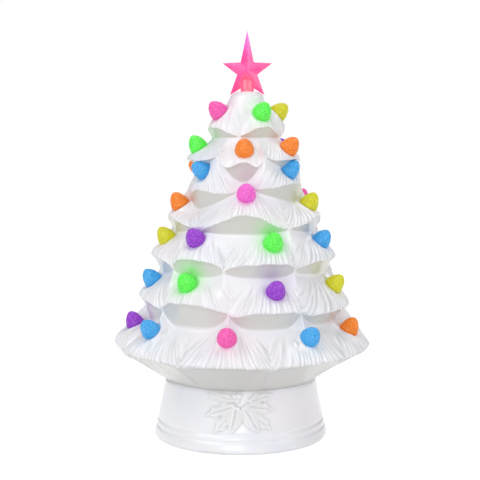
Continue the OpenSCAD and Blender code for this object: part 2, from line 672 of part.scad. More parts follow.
// Light cap: a frosted dome that stands in the plate's groove and reaches through the deck
cap_z = plate_top_z - cap_groove + seat_gap;
cap_wall_top_share = 0.54;
cap_shoulder_z = lerp(cap_z, cap_top_z, cap_wall_top_share);
dome_angle_step = 10;
function cap_arc(r, h, flip) = [for (a = [0 : dome_angle_step : 90]) let (b = flip ? 90 - a : a)
    [r * cos(b), cap_shoulder_z + h * sin(b)]];
module light_cap() {
    color("ghostwhite") rotate_extrude($fn = 96) polygon(concat(
        [[cap_r, cap_z]],
        cap_arc(cap_r, cap_top_z - cap_shoulder_z, false),
        cap_arc(cap_r - cap_t, cap_top_z - cap_shoulder_z - cap_t, true),
        [[cap_r - cap_t, cap_z]]));
}
module switch_body() {
    color("dimgray") translate([0, switch_y, plate_top_z]) difference() {
        box_at(-switch_w / 2, switch_w / 2, -switch_d / 2, switch_d / 2, 0, switch_h);
        box_at(-(switch_travel + slider_w) / 2 - seat_gap, (switch_travel + slider_w) / 2 + seat_gap,
            -slider_d / 2 - seat_gap, slider_d / 2 + seat_gap, -over, slider_h + seat_gap);
    }
}
module switch_knob() {
    color("black") translate([-switch_travel / 2, switch_y, plate_top_z]) {
        box_at(-knob_w / 2, knob_w / 2, -knob_d / 2, knob_d / 2, -knob_deep, -seat_gap);
        box_at(-slider_w / 2, slider_w / 2, -slider_d / 2, slider_d / 2, -knob_deep, slider_h);
    }
}
lead_r = 0.7;
lead_x = 3;
module lead_wires() {
    color("crimson") for (x = [-lead_x, lead_x]) translate([x, switch_y, plate_top_z + switch_h])
        cylinder(r = lead_r, h = board_z - plate_top_z - switch_h, $fn = 16);
}
module rubber_feet() {
    color("darkslategray") for (i = [0 : feet - 1]) rotate(360 * (i + 0.5) / feet)
        translate([foot_circle_r, 0, 0]) cylinder(r = rubber_r, h = rubber_h, $fn = 32);
}

function bulb_name(k, i) = str("bulb_", row_letters[k], i + 1);

base_casting();
tree_casting();
star_topper();
bottom_plate();
battery_door();
door_pin();
door_screw();
battery_cells();
contact_plates();
contact_springs();
lamp_board();
board_screws();
lamps();
light_cap();
switch_body();
switch_knob();
lead_wires();
rubber_feet();
for (k = [0 : tiers - 1]) for (i = [0 : branch_count(k) - 1])
    bulb(k, i);
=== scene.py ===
"""Ceramic christmas tree: the looks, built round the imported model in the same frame.

The white glazed tree and base, the sugared bulbs and the star are modelled here in full detail. The pieces of
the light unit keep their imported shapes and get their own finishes.
"""

from __future__ import annotations

import logging
import math
from dataclasses import dataclass, field
from enum import Enum

import bpy
import numpy as np
from mathutils import Matrix, Vector


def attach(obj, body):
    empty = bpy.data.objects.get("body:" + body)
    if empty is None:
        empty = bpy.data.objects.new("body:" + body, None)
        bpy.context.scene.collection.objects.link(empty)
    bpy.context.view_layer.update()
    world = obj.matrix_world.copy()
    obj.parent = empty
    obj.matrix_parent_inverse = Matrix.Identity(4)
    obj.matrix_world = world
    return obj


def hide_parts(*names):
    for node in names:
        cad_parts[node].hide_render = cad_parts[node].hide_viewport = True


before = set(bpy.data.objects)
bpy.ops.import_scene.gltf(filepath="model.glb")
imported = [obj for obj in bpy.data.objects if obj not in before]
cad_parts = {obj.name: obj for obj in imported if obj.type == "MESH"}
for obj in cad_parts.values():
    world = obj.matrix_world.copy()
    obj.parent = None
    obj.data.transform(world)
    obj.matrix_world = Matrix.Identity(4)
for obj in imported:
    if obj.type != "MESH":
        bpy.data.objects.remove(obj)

# Short names for the types that the hints use most
Array = np.ndarray
Material = bpy.types.Material
Node = bpy.types.Node
Piece = bpy.types.Object
Socket = bpy.types.NodeSocket
Tree = bpy.types.NodeTree

MM = 0.001
LOG = logging.getLogger("christmas_tree")

# The inputs of Map Range and of a colour Mix go by number, because their names repeat
VALUE, FROM_LOW, FROM_HIGH, LOW, HIGH = range(5)
SHARE, UNDER, OVER = 0, 6, 7


# Small tools


def linear(code: str) -> tuple[float, float, float, float]:
    """Turns an sRGB hex colour into the linear colour that a shader takes.

    Args:
        code: Six hex digits with a leading hash.

    Returns:
        Red, green, blue and an alpha of 1.
    """
    parts = [int(code[i : i + 2], 16) / 255 for i in (1, 3, 5)]
    return (*[c / 12.92 if c <= 0.04045 else ((c + 0.055) / 1.055) ** 2.4 for c in parts], 1.0)


def add_node(
    tree: Tree, kind: str, inputs: dict[str | int, object] | None = None, **settings: object
) -> Node:
    """Adds one node with its settings, values and links.

    Args:
        tree: The node tree that gets the node.
        kind: The node's type name.
        inputs: What goes into each input. A socket is linked, a node is linked by its first output, and
            anything else is set as the value.
        **settings: The node's own properties.

    Returns:
        The new node.
    """
    node = tree.nodes.new(kind)
    for name, value in settings.items():
        setattr(node, name, value)
    for key, value in (inputs or {}).items():
        if isinstance(value, (Node, Socket)):
            tree.links.new(value.outputs[0] if isinstance(value, Node) else value, node.inputs[key])
        else:
            node.inputs[key].default_value = value
    return node


def smooth(low: float, high: float, x: Array) -> Array:
    """Rises from 0 at low to 1 at high with level ends.

    Args:
        low: Where the rise starts.
        high: Where the rise ends.
        x: The values to judge.

    Returns:
        A weight for each value.
    """
    t = np.clip((x - low) / (high - low), 0, 1)
    return t * t * (3 - 2 * t)


def mesh_piece(name: str, points: Array, faces: Array, material: Material) -> Piece:
    """Makes a smooth-shaded piece from points in millimetres and four-cornered faces.

    Args:
        name: The piece's name.
        points: One row of x, y and z for each point, in millimetres.
        faces: One row of four point numbers for each face.
        material: The piece's finish.

    Returns:
        The linked object.
    """
    mesh = bpy.data.meshes.new(name)
    mesh.vertices.add(len(points))
    mesh.vertices.foreach_set("co", (points * MM).astype(np.float32).ravel())
    mesh.loops.add(faces.size)
    mesh.loops.foreach_set("vertex_index", faces.astype(np.int32).ravel())
    mesh.polygons.add(len(faces))
    mesh.polygons.foreach_set("loop_start", np.arange(0, faces.size, 4, dtype=np.int32))
    mesh.polygons.foreach_set("use_smooth", np.ones(len(faces), bool))
    mesh.update(calc_edges=True)
    mesh.validate()
    mesh.materials.append(material)
    piece = bpy.data.objects.new(name, mesh)
    bpy.context.scene.collection.objects.link(piece)
    return piece


def paint(piece: Piece, name: str, values: Array) -> None:
    """Stores a value or a colour at each point of a piece, for its finish to read.

    Args:
        piece: The piece.
        name: The name that the finish reads.
        values: One number, or red, green, blue and weight, for each point.
    """
    colour = values.ndim > 1 and values.shape[-1] == 4
    layer = piece.data.attributes.new(name, "FLOAT_COLOR" if colour else "FLOAT", "POINT")
    layer.data.foreach_set("color" if colour else "value", values.astype(np.float32).ravel())


def grid_faces(rings: int, around: int, loop: bool = False) -> Array:
    """Numbers the faces of a grid of rings that runs downwards and closes on itself around.

    Args:
        rings: How many rings the grid has.
        around: How many points each ring has.
        loop: Whether the last ring joins the first.

    Returns:
        One row of four point numbers for each face.
    """
    a = np.arange(rings if loop else rings - 1)[:, None]
    j = np.arange(around)[None, :]
    b, k = (a + 1) % rings, (j + 1) % around
    corners = [a * around + j, b * around + j, b * around + k, a * around + k]
    return np.stack([np.broadcast_to(c, (len(a), around)) for c in corners], -1).reshape(-1, 4)


def turned(outline: list[tuple[float, float]], a: Array) -> Array:
    """Turns an outline of radius and height round the upright axis.

    Args:
        outline: The outline, from the top down.
        a: The angles from the front, in radians.

    Returns:
        The points, as rings by columns by coordinates.
    """
    return np.array([[(r * np.sin(t), -r * np.cos(t), z) for t in a] for r, z in outline])


def spline(rows: Array, steps: list[int]) -> Array:
    """Draws a smooth curve through rows of points, each column of points by itself.

    Args:
        rows: Control points, as knots by columns by coordinates.
        steps: How many points each span between two knots gets.

    Returns:
        The points of the curve, as rows by columns by coordinates.
    """
    ends = np.concatenate([rows[:1] * 2 - rows[1:2], rows, rows[-1:] * 2 - rows[-2:-1]])
    out = []
    for s, count in enumerate(steps):
        p = ends[s : s + 4]
        knots = [np.zeros(rows.shape[1])]
        for a, b in zip(p[:-1], p[1:]):
            knots.append(knots[-1] + np.maximum(np.linalg.norm(b - a, axis=-1), 1e-3) ** 0.5)
        k0, k1, k2, k3 = [k[:, None] for k in knots]
        for i in range(count):
            t = k1 + (k2 - k1) * (i / count)
            a1 = (k1 - t) / (k1 - k0) * p[0] + (t - k0) / (k1 - k0) * p[1]
            a2 = (k2 - t) / (k2 - k1) * p[1] + (t - k1) / (k2 - k1) * p[2]
            a3 = (k3 - t) / (k3 - k2) * p[2] + (t - k2) / (k3 - k2) * p[3]
            b1 = (k2 - t) / (k2 - k0) * a1 + (t - k0) / (k2 - k0) * a2
            b2 = (k3 - t) / (k3 - k1) * a2 + (t - k1) / (k3 - k1) * a3
            out.append((k2 - t) / (k2 - k1) * b1 + (t - k1) / (k2 - k1) * b2)
    out.append(rows[-1])
    return np.array(out)


def grid_normals(points: Array) -> Array:
    """Works out the outward direction at each point of a grid that closes on itself around.

    Args:
        points: Rings by columns by coordinates, from the top down.

    Returns:
        Unit vectors of the same shape.
    """
    down = np.gradient(points, axis=0)
    across = np.roll(points, -1, 1) - np.roll(points, 1, 1)
    n = np.cross(down, across)
    return n / np.maximum(np.linalg.norm(n, axis=-1, keepdims=True), 1e-9)


def blurred(values: Array, reach: int, axis: int) -> Array:
    """Averages each value with its neighbours along one axis.

    Args:
        values: The values.
        reach: How many neighbours on each side.
        axis: The axis.

    Returns:
        The averages.
    """
    return sum(np.roll(values, step, axis) for step in range(-reach, reach + 1)) / (2 * reach + 1)


# Finishes


class BulbColour(Enum):
    """The six tints of the moulded bulbs, and the lilac pink of the one in front of the fourth row."""

    PINK = "#FD58B2"
    GREEN = "#5CFF4A"
    YELLOW = "#DCDA00"
    ORANGE = "#FF8700"
    BLUE = "#36AAEA"
    PURPLE = "#9A30CC"
    LILAC = "#FB66D2"

    @property
    def slot(self) -> str:
        """The record's slot for this tint."""
        return f"bulb_{self.name.lower()}"

    @property
    def glow(self) -> float:
        """How strongly a lit bulb of this tint colours the glaze next to it."""
        return {"GREEN": 1.0, "PINK": 0.62, "LILAC": 0.62, "BLUE": 0.5}.get(self.name, 0.4)


def new_material(name: str) -> tuple[Material, Tree]:
    """Starts an empty material.

    Args:
        name: The material's name.

    Returns:
        The material and its node tree.
    """
    material = bpy.data.materials.new(name)
    material.use_nodes = True
    tree = material.node_tree
    tree.nodes.clear()
    return material, tree


def layered(tree: Tree, colour: object, *layers: tuple[Node | Socket, object]) -> Socket:
    """Lays colours over one another.

    Args:
        tree: The node tree.
        colour: The lowest colour, a value or a socket.
        *layers: For each layer above it, how much it covers and its colour.

    Returns:
        The socket of the resulting colour.
    """
    for share, over in layers:
        inputs = {SHARE: share, UNDER: colour, OVER: over}
        colour = add_node(tree, "ShaderNodeMix", inputs, data_type="RGBA").outputs[2]
    return colour


@dataclass(frozen=True)
class PearlGlaze:
    """White pearl glaze, fired over slip-cast earthenware.

    The eye gets a soft white with a cool lustre in patches, a warm grey painted shade under the lips, in the
    grooves and inside, a wet coat over it, and slight ripples where the glaze ran.
    """

    name: str = "pearl_glaze_fired"
    white: str = "#F8F8F9"
    cool: str = "#F0F3FA"
    rose: str = "#F8F2F6"
    painted_shade: str = "#CFCEC7"
    patch_mm: float = 26.0
    lustre_mm: float = 26.0 / 0.42
    ripple_mm: float = 5.0
    ripple_depth_mm: float = 0.4

    def build(self) -> Material:
        """Makes the material, which reads from the mesh each point's painted shade (hollow) and the bulbs'
        light painted on it (glow).

        Returns:
            The material.
        """
        material, tree = new_material(self.name)
        spot = add_node(tree, "ShaderNodeTexCoord").outputs["Object"]
        blots = {"Vector": spot, "Scale": 1000 / self.patch_mm, "Detail": 1.0}
        patches = add_node(tree, "ShaderNodeTexNoise", blots)
        broad = {"Vector": spot, "Scale": 1000 / self.lustre_mm, "Detail": 0.0}
        lustre = add_node(tree, "ShaderNodeTexNoise", broad)
        waves = {"Vector": spot, "Scale": 1000 / self.ripple_mm, "Detail": 2.0, "Roughness": 0.4}
        ripple = add_node(tree, "ShaderNodeTexNoise", waves)
        # The hollow weight painted on the mesh mixes in the painted shade, a warm grey, where shade falls
        hollow = add_node(tree, "ShaderNodeAttribute", attribute_name="hollow")
        glow = add_node(tree, "ShaderNodeAttribute", attribute_name="glow")
        colour = layered(
            tree,
            linear(self.white),
            (add_node(tree, "ShaderNodeMapRange", {VALUE: patches, LOW: -0.6, HIGH: 1.4}), linear(self.cool)),
            (add_node(tree, "ShaderNodeMapRange", {VALUE: lustre, LOW: -0.9, HIGH: 1.3}), linear(self.rose)),
            (hollow.outputs["Fac"], linear(self.painted_shade)),
            (glow.outputs["Alpha"], glow.outputs["Color"]),
        )
        bump = {"Strength": 0.5, "Distance": self.ripple_depth_mm * MM, "Height": ripple}
        look = {
            "Base Color": colour,
            "Roughness": add_node(tree, "ShaderNodeMapRange", {VALUE: patches, LOW: 0.26, HIGH: 0.4}),
            "Normal": add_node(tree, "ShaderNodeBump", bump),
            "IOR": 1.5,
            "Coat Weight": 0.6,
            "Coat Roughness": 0.12,
            "Coat IOR": 1.5,
        }
        shader = add_node(tree, "ShaderNodeBsdfPrincipled", look)
        add_node(tree, "ShaderNodeOutputMaterial", {"Surface": shader})
        return material


@dataclass(frozen=True)
class SugaredAcrylic:
    """Tinted clear acrylic, moulded with a crystal grain all over.

    The eye gets grains that catch the light one by one, darker tint between them, a painted shade that
    darkens it towards the foot, and colour that glows a little from the lamp behind.
    """

    tint: BulbColour
    grain_mm: float = 1.0
    grain_depth_mm: float = 0.25
    gap_share: float = 0.22
    deep: tuple = (0.6, 0.6, 0.66, 1.0)
    dull: tuple = (0.78, 0.78, 0.8, 1.0)
    pale_share: float = 0.12

    def build(self) -> Material:
        """Makes the material of one tint, which reads from the mesh how much painted shade each point gets
        towards the foot.

        Returns:
            The material.
        """
        material, tree = new_material(f"sugared_acrylic_{self.tint.name.lower()}")
        spot = add_node(tree, "ShaderNodeTexCoord").outputs["Object"]
        cells = {"Vector": spot, "Scale": 1000 / self.grain_mm}
        grains = add_node(tree, "ShaderNodeTexVoronoi", cells)
        gaps = add_node(tree, "ShaderNodeTexVoronoi", cells, feature="DISTANCE_TO_EDGE")
        tint = linear(self.tint.value)
        deep = tuple(c * f for c, f in zip(tint, self.deep))
        dull = tuple(c * f for c, f in zip(tint, self.dull))
        pale = tuple(c + (1 - c) * self.pale_share for c in tint)
        one, two, three = add_node(tree, "ShaderNodeSeparateColor", {0: grains.outputs["Color"]}).outputs
        inside = add_node(tree, "ShaderNodeMapRange", {VALUE: gaps, FROM_LOW: 0.0, FROM_HIGH: self.gap_share})
        # Painted shade: the tint deepens towards the foot, by the weight painted on the mesh
        foot = add_node(tree, "ShaderNodeAttribute", attribute_name="foot_share").outputs["Fac"]
        colour = layered(tree, deep, (inside, layered(tree, dull, (one, pale))), (foot, deep))
        bump = {"Strength": 0.4, "Distance": self.grain_depth_mm * MM, "Height": two}
        look = {
            "Base Color": colour,
            "Roughness": add_node(tree, "ShaderNodeMapRange", {VALUE: three, LOW: 0.18, HIGH: 0.5}),
            "Normal": add_node(tree, "ShaderNodeBump", bump),
            "IOR": 1.49,
            "Specular IOR Level": 0.35,
            "Emission Color": colour,
            "Emission Strength": 0.33,
            "Subsurface Weight": 0.25,
            "Subsurface Scale": 3 * MM,
        }
        shader = add_node(tree, "ShaderNodeBsdfPrincipled", look)
        add_node(tree, "ShaderNodeOutputMaterial", {"Surface": shader})
        return material


@dataclass(frozen=True)
class ClearAcrylic:
    """Tinted clear acrylic, moulded smooth, for the star.

    The eye gets a glowing tint with a warmer middle, where the light comes up the stem, and sharp facets.
    """

    name: str = "clear_acrylic_moulded_pink"
    tint: str = "#EE2C84"
    core: str = "#FF7A82"
    pale: str = "#FF6CAE"
    tip: str = "#EE78D8"
    streak_mm: float = 9.0

    def build(self) -> Material:
        """Makes the material, which reads from the mesh how near the stem and the tip each point is.

        Returns:
            The material.
        """
        material, tree = new_material(self.name)
        spot = add_node(tree, "ShaderNodeTexCoord").outputs["Object"]
        blots = {"Vector": spot, "Scale": 1000 / self.streak_mm, "Detail": 2.0}
        streaks = add_node(tree, "ShaderNodeTexNoise", blots)
        edge = add_node(tree, "ShaderNodeLayerWeight", {"Blend": 0.35}).outputs["Facing"]
        far = add_node(tree, "ShaderNodeAttribute", attribute_name="far_share").outputs["Fac"]
        warm = add_node(tree, "ShaderNodeAttribute", attribute_name="lit_core").outputs["Fac"]
        streaky = add_node(tree, "ShaderNodeMapRange", {VALUE: streaks, LOW: -0.25, HIGH: 0.85})
        colour = layered(
            tree,
            linear(self.tint),
            (streaky, linear(self.pale)),
            (far, linear(self.tip)),
            (warm, linear(self.core)),
        )
        look = {
            "Base Color": colour,
            "Roughness": add_node(tree, "ShaderNodeMapRange", {VALUE: edge, LOW: 0.06, HIGH: 0.2}),
            "IOR": 1.49,
            "Coat Weight": 0.3,
            "Emission Color": colour,
            "Emission Strength": 0.32,
            "Subsurface Weight": 0.2,
            "Subsurface Scale": 4 * MM,
        }
        shader = add_node(tree, "ShaderNodeBsdfPrincipled", look)
        add_node(tree, "ShaderNodeOutputMaterial", {"Surface": shader})
        return material


@dataclass(frozen=True)
class WorkedSurface:
    """A plain worked material with two shades, a grain and a bump, for the parts of the light unit.

    The eye gets a slow change of shade, a fine grain at the real size, and a roughness that varies with it.
    """

    name: str
    shade: str
    other: str
    rough: tuple[float, float]
    grain_mm: float
    depth_mm: float
    stretch: tuple[float, float, float] = (1.0, 1.0, 1.0)
    grain_share: float = 0.06
    metallic: float = 0.0
    ior: float = 1.5
    coat: float = 0.0
    emission: float = 0.0

    def build(self) -> Material:
        """Makes the material.

        Returns:
            The material.
        """
        material, tree = new_material(self.name)
        spot = add_node(tree, "ShaderNodeTexCoord").outputs["Object"]
        mapped = add_node(tree, "ShaderNodeMapping", {"Vector": spot, "Scale": self.stretch})
        fine = {"Vector": mapped, "Scale": 1000 / self.grain_mm, "Detail": 4.0}
        grain = add_node(tree, "ShaderNodeTexNoise", fine)
        broad = {"Vector": spot, "Scale": 1000 * self.grain_share / self.grain_mm, "Detail": 2.0}
        clouds = add_node(tree, "ShaderNodeTexNoise", broad)
        drift = add_node(tree, "ShaderNodeMapRange", {VALUE: clouds, LOW: -0.3, HIGH: 1.3})
        low, high = self.rough
        colour = layered(tree, linear(self.shade), (drift, linear(self.other)))
        bump = {"Strength": 0.6, "Distance": self.depth_mm * MM, "Height": grain}
        look = {
            "Base Color": colour,
            "Roughness": add_node(tree, "ShaderNodeMapRange", {VALUE: grain, LOW: low, HIGH: high}),
            "Normal": add_node(tree, "ShaderNodeBump", bump),
            "Metallic": self.metallic,
            "IOR": self.ior,
            "Coat Weight": self.coat,
            "Emission Strength": self.emission,
        }
        if self.emission:
            look["Emission Color"] = colour
        shader = add_node(tree, "ShaderNodeBsdfPrincipled", look)
        add_node(tree, "ShaderNodeOutputMaterial", {"Surface": shader})
        return material


# ABS, moulded: an even white with a fine spark-eroded grain
WHITE_ABS = WorkedSurface("abs_moulded_white", "#E8E7E2", "#DDDCD6", (0.38, 0.55), 0.9, 0.05)
# Spring steel, nickel plated: a cool grey with fine drawn lines
PLATED_STEEL = WorkedSurface(
    "steel_nickel_plated", "#B9BBBD", "#A7A9AC", (0.2, 0.42), 1.4, 0.03, (1.0, 9.0, 1.0), metallic=1.0
)
# Shrink sleeve on the cells: dark, smooth and slightly creased
CELL_SLEEVE = WorkedSurface("pvc_shrunk_graphite", "#2B2F33", "#22262A", (0.2, 0.34), 6.0, 0.06, coat=0.3)
# Epoxy board with solder mask: deep green with a weave below the lacquer
BOARD_MASK = WorkedSurface("epoxy_glass_masked", "#17573A", "#124A31", (0.25, 0.4), 0.8, 0.03, coat=0.4)
# Epoxy lamps, cast clear: a pale warm body that looks lit
LAMP_EPOXY = WorkedSurface("epoxy_cast_clear", "#FFF6DC", "#FFF1CC", (0.08, 0.2), 3.0, 0.02, emission=0.5)
# Polypropylene light cap, frosted: milky and even, with a faint glow painted on for the lamps' light through
# it
FROSTED_CAP = WorkedSurface(
    "polypropylene_frosted", "#F4F4F0", "#EDEDE8", (0.45, 0.6), 1.2, 0.06, emission=0.06
)
# Nylon switch, moulded: near black with a matte grain
BLACK_NYLON = WorkedSurface("nylon_moulded_black", "#1B1B1D", "#151517", (0.45, 0.62), 0.8, 0.05)
# Silicone lead, extruded: red and smooth
RED_LEAD = WorkedSurface("silicone_extruded_red", "#A51C18", "#931713", (0.35, 0.5), 1.5, 0.02)
# Rubber feet, moulded: charcoal with a dull grain
FOOT_RUBBER = WorkedSurface("rubber_moulded_charcoal", "#2A2A2A", "#222222", (0.65, 0.85), 0.7, 0.08)


# Tree


# Single branches that differ from their row, by row letter and number: how far the sides of the lip droop,
# and how far the hollow dips into the row below, as shares of the tree's height
DROOPS = {"a1": 0.03, "a2": 0.03, "a3": 0.03, "a4": 0.03, "b3": 0.018, "d2": 0.02, "d3": 0.06, "d4": 0.02}
DIPS = {"b3": 0.05, "c2": 0.035, "c3": 0.012}
# How much further their tips reach, as shares of the skirt's radius
REACHES = {"b2": 0.027, "b3": -0.018, "d3": -0.009, "f2": -0.009, "f3": -0.009, "f5": 0.018}
REACHES |= {"g3": -0.009, "g4": -0.018, "g5": -0.009, "g6": 0.009}
# How much higher their tips lie, as shares of the tree's height
RISES = {"b2": 0.002, "b3": -0.008, "c2": -0.008, "c3": 0.014, "d3": 0.014, "e2": 0.006, "e3": 0.008}
RISES |= {"e4": -0.002, "e5": -0.002, "f2": 0.016, "f3": 0.024, "f5": -0.012, "g2": 0.016, "g4": -0.006}
RISES |= {"g5": -0.004, "g6": 0.002}


@dataclass
class Branch:
    """One branch of the tree: its angle from the front, the reach and height of its tip, and its bulb."""

    row: int
    number: int
    angle: float
    tip_r: float
    tip_z: float
    bulb: BulbColour

    @property
    def name(self) -> str:
        """The branch's row letter and number."""
        return f"{'abcdefg'[self.row]}{self.number + 1}"

    @property
    def node(self) -> str:
        """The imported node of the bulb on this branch."""
        return f"bulb_{self.name}"


@dataclass
class TreeForm:
    """The slip-cast tree: seven rows of branches with combed ribs, hollow inside, open at the mouth.

    Lengths are in millimetres. The rows' radii are shares of skirt_r, and heights are shares of height. In
    a table, the rows run from the top down, and the branches of a row from the left of the back round the
    front.
    """

    seam_z: float = 52.0
    seam_gap: float = 0.3
    height: float = 251.0
    skirt_r: float = 112.5
    lean: float = 5.8
    knob_r: float = 14.4
    knob: tuple = ((0.56, -0.01), (0.72, 0.05), (0.88, 0.28), (1.0, 0.62))
    neck_r: float = 66.5
    # The hollow: the mouth, the belly, the peak, and the star's bore with its lead-in
    wall: float = 5.5
    mouth_r: float = 60.2
    mouth_h: float = 4.5
    belly: float = 0.855
    belly_up: float = 3.0
    peak_r: float = 7.5
    peak_deep: float = 16.0
    bore_r: float = 5.88
    bore_top: float = 0.6
    bore_deep: float = 13.3
    lead_r: float = 4.3
    lead_deep: float = 15.9
    # The rows: their tips, the valleys above them, and how far their creases reach out and climb
    tier_r: tuple = (0.3, 0.431, 0.444, 0.599, 0.724, 0.825, 1.0)
    tier_z: tuple = (0.878, 0.767, 0.673, 0.572, 0.432, 0.277, 0.12)
    valley_r: tuple = (0.135, 0.262, 0.356, 0.428, 0.542, 0.644, 0.726)
    valley_z: tuple = (0.976, 0.837, 0.735, 0.628, 0.514, 0.376, 0.21)
    rise: tuple = (0, 0.004, 0.04, 0.045, 0.02, 0.022, 0.056)
    bowl: tuple = (2, 2, 1.5, 2, 4, 5, 5)
    crease_r: tuple = (0.55, 0.88, 0.6, 0.55, 0.6, 0.6, 0.88)
    crease_z: tuple = (0.006, 0.006, 0.006, 0.01, 0.008, 0.01, 0.104)
    # The branches: degrees from the front, each one's share of the gap to the next, and their shape
    angles: tuple = (
        (-64, 27, 99, 180),
        (-148, -82, -2, 60, 137),
        (-120, -56, 62, 122, 180),
        (-125, -77, 1, 76, 114, 180),
        (-138, -80, -35, 20, 73, 121, 170),
        (-134, -78, -36, 19, 72, 116, 170),
        (-143, -92, -51, -7, 33, 78, 122, 170),
    )
    split: tuple = (
        (0.58, 0.5, 0.5, 0.5),
        (0.5, 0.65, 0.34, 0.5, 0.5),
        (0.5, 0.47, 0.5, 0.5, 0.5),
        (0.5, 0.48, 0.46, 0.5, 0.5, 0.5),
        (0.5, 0.69, 0.42, 0.24, 0.5, 0.5, 0.5),
        (0.5, 0.69, 0.52, 0.27, 0.5, 0.5, 0.5),
        (0.5, 0.5, 0.5, 0.5, 0.5, 0.5, 0.5, 0.5),
    )
    square: tuple = (2.2, 2.2, 2.2, 2.4, 4, 4, 3)
    fall: tuple = (0.8, 0.8, 0.8, 0.7, 0.6, 0.6, 0.7)
    arch: tuple = (1.2, 1.6, 1.6, 1.8, 1, 1, 1)
    upper: tuple = ((0, 0), (0.13, 0.17), (0.37, 0.35), (0.64, 0.54), (0.9, 0.78), (1, 1))
    under: tuple = ((0.26, 0.14), (0.62, 0.5))
    # The bulbs: their tints, and how far down its branch each stands
    bulbs: tuple = (
        "PINK GREEN YELLOW BLUE",
        "PINK GREEN ORANGE ORANGE PURPLE",
        "ORANGE BLUE BLUE YELLOW GREEN",
        "GREEN ORANGE LILAC YELLOW PINK PURPLE",
        "BLUE YELLOW PURPLE GREEN BLUE ORANGE PINK",
        "PINK BLUE GREEN PURPLE YELLOW GREEN ORANGE",
        "ORANGE PURPLE BLUE PINK BLUE ORANGE GREEN YELLOW",
    )
    seat: tuple = (
        (0.56, 0.61, 0.59, 0.58),
        (0.54, 0.52, 0.58, 0.58, 0.6),
        (0.32, 0.25, 0.25, 0.35, 0.35),
        (0.42, 0.46, 0.29, 0.46, 0.3, 0.42),
        (0.44, 0.36, 0.36, 0.39, 0.42, 0.44, 0.44),
        (0.44, 0.4, 0.34, 0.45, 0.44, 0.44, 0.44),
        (0.46, 0.44, 0.44, 0.48, 0.53, 0.44, 0.46, 0.46),
    )
    slope_reach: float = 0.14
    seat_sink: float = 1.4
    seat_flat_r: float = 8.5
    seat_blend_r: float = 11.5
    seat_blend_h: float = 7.0
    # The combed ribs
    rib_pitch: float = 3.3
    rib_depth: tuple = (0.6, 0.6, 1.0, 1.1, 1.35, 1.35, 1.5)
    rib_gather: float = 0.42
    rib_gather_power: float = 0.9
    rib_widest: float = 1.2
    rib_reach: float = 2.2
    rib_stray: float = 0.42
    rib_starts: tuple = (0.1, 0.62)
    rib_cuts: tuple = (0.45, 1.25)
    rib_widths: tuple = (0.6, 1.0)
    rib_fade: float = 0.3
    rib_ends: tuple = (1.0, 1.15)
    rib_most: float = 1.5
    # The uneven ends of the needles
    needle: float = 7.0
    needle_drop: float = 0.6
    skirt_needles: float = 1.4
    # The colour that the lit bulbs throw on the glaze
    lamp_h: float = 7.0
    glow_r: float = 40.0
    glow_fade: float = 7.5
    glow_power: float = 1.4
    glow_turned: float = 0.3
    glow_share: float = 0.55
    glow_strongest: float = 0.7
    # The painted shade under the lips, in the ribs and inside
    shade_from: tuple = (0.97, 1.08)
    shade_across: tuple = (0.0, 0.45)
    shade_slope: tuple = (-0.5, 0.2)
    shade: float = 0.8
    upper_shade: float = 0.35
    upper_z: tuple = (150.0, 195.0)
    rib_shade: float = 0.3
    rib_full: float = 1.1
    inner_shade: float = 0.6
    # How fine the mesh is: points around, and rings in each span of the knob and of a row
    around: int = 1080
    knob_steps: int = 3
    steps: tuple = (3, 5, 5, 5, 5, 4, 3, 3)
    branches: list[Branch] = field(default_factory=list)

    def __post_init__(self) -> None:
        """Lists the branches and reads off the places that follow from the sizes."""
        self.tree_z = self.seam_z + self.seam_gap
        self.top_z = self.seam_z + self.height
        self.theta = np.arange(self.around) * 360 / self.around - 180
        for k, row in enumerate(self.angles):
            for i, (angle, colour) in enumerate(zip(row, self.bulbs[k].split())):
                b = Branch(k, i, angle, 0.0, 0.0, BulbColour[colour])
                b.tip_r = self.skirt_r * (self.tier_r[k] + REACHES.get(b.name, 0))
                b.tip_z = self.seam_z + self.height * (self.tier_z[k] + RISES.get(b.name, 0))
                self.branches.append(b)

    def row(self, k: int) -> list[Branch]:
        """The branches of one row, in rising angle."""
        return [b for b in self.branches if b.row == k]

    def listed(self, table: dict[str, float], k: int) -> Array:
        """What a table of single branches says for each branch of row k, or 0."""
        return np.array([table.get(b.name, 0.0) for b in self.row(k)])

    def low(self, k: int) -> tuple[float, float]:
        """Radius and height of the valley above row k.

        Args:
            k: The row, or one past the last for the neck.

        Returns:
            The radius and the height.
        """
        if k == len(self.tier_r):
            return self.neck_r, self.tree_z
        return self.skirt_r * self.valley_r[k], self.seam_z + self.height * self.valley_z[k]

    def place(self, r: Array, z: Array, angle: Array) -> Array:
        """Turns radius, height and angle into points of the leaning tree.

        Args:
            r: Distance from the leaning axis.
            z: Height.
            angle: Degrees from the front, to the right.

        Returns:
            The points, with coordinates in the last axis.
        """
        a = np.radians(angle)
        lean = self.lean * np.maximum(0, z - self.seam_z) / self.height
        return np.stack([r * np.sin(a) + lean, -r * np.cos(a), z], -1)

    def shares(self, k: int, angle: Array) -> tuple[Array, Array, Array]:
        """Finds the branch at each angle and how far across it the angle lies.

        Args:
            k: The row.
            angle: Degrees from the front.

        Returns:
            The branch's number, the share from its middle (-1 to 1), and the degrees from its middle.
        """
        c = np.array(self.angles[k], float)
        gap = (np.roll(c, -1) - c + 720) % 360
        right = gap * np.array(self.split[k])
        left = np.roll(gap - right, 1)
        d = (angle[:, None] - c[None, :] + 540) % 360 - 180
        u = np.where(d >= 0, d / right, d / left)
        i = np.abs(u).argmin(1)
        pick = np.arange(len(angle))
        return i, np.clip(u[pick, i], -1, 1), d[pick, i]

    def fullness(self, k: int, u: Array) -> Array:
        """How full the branch is across, from 1 in its middle to 0 in the crease."""
        return np.maximum(0, 1 - np.abs(u) ** self.square[k]) ** self.fall[k]

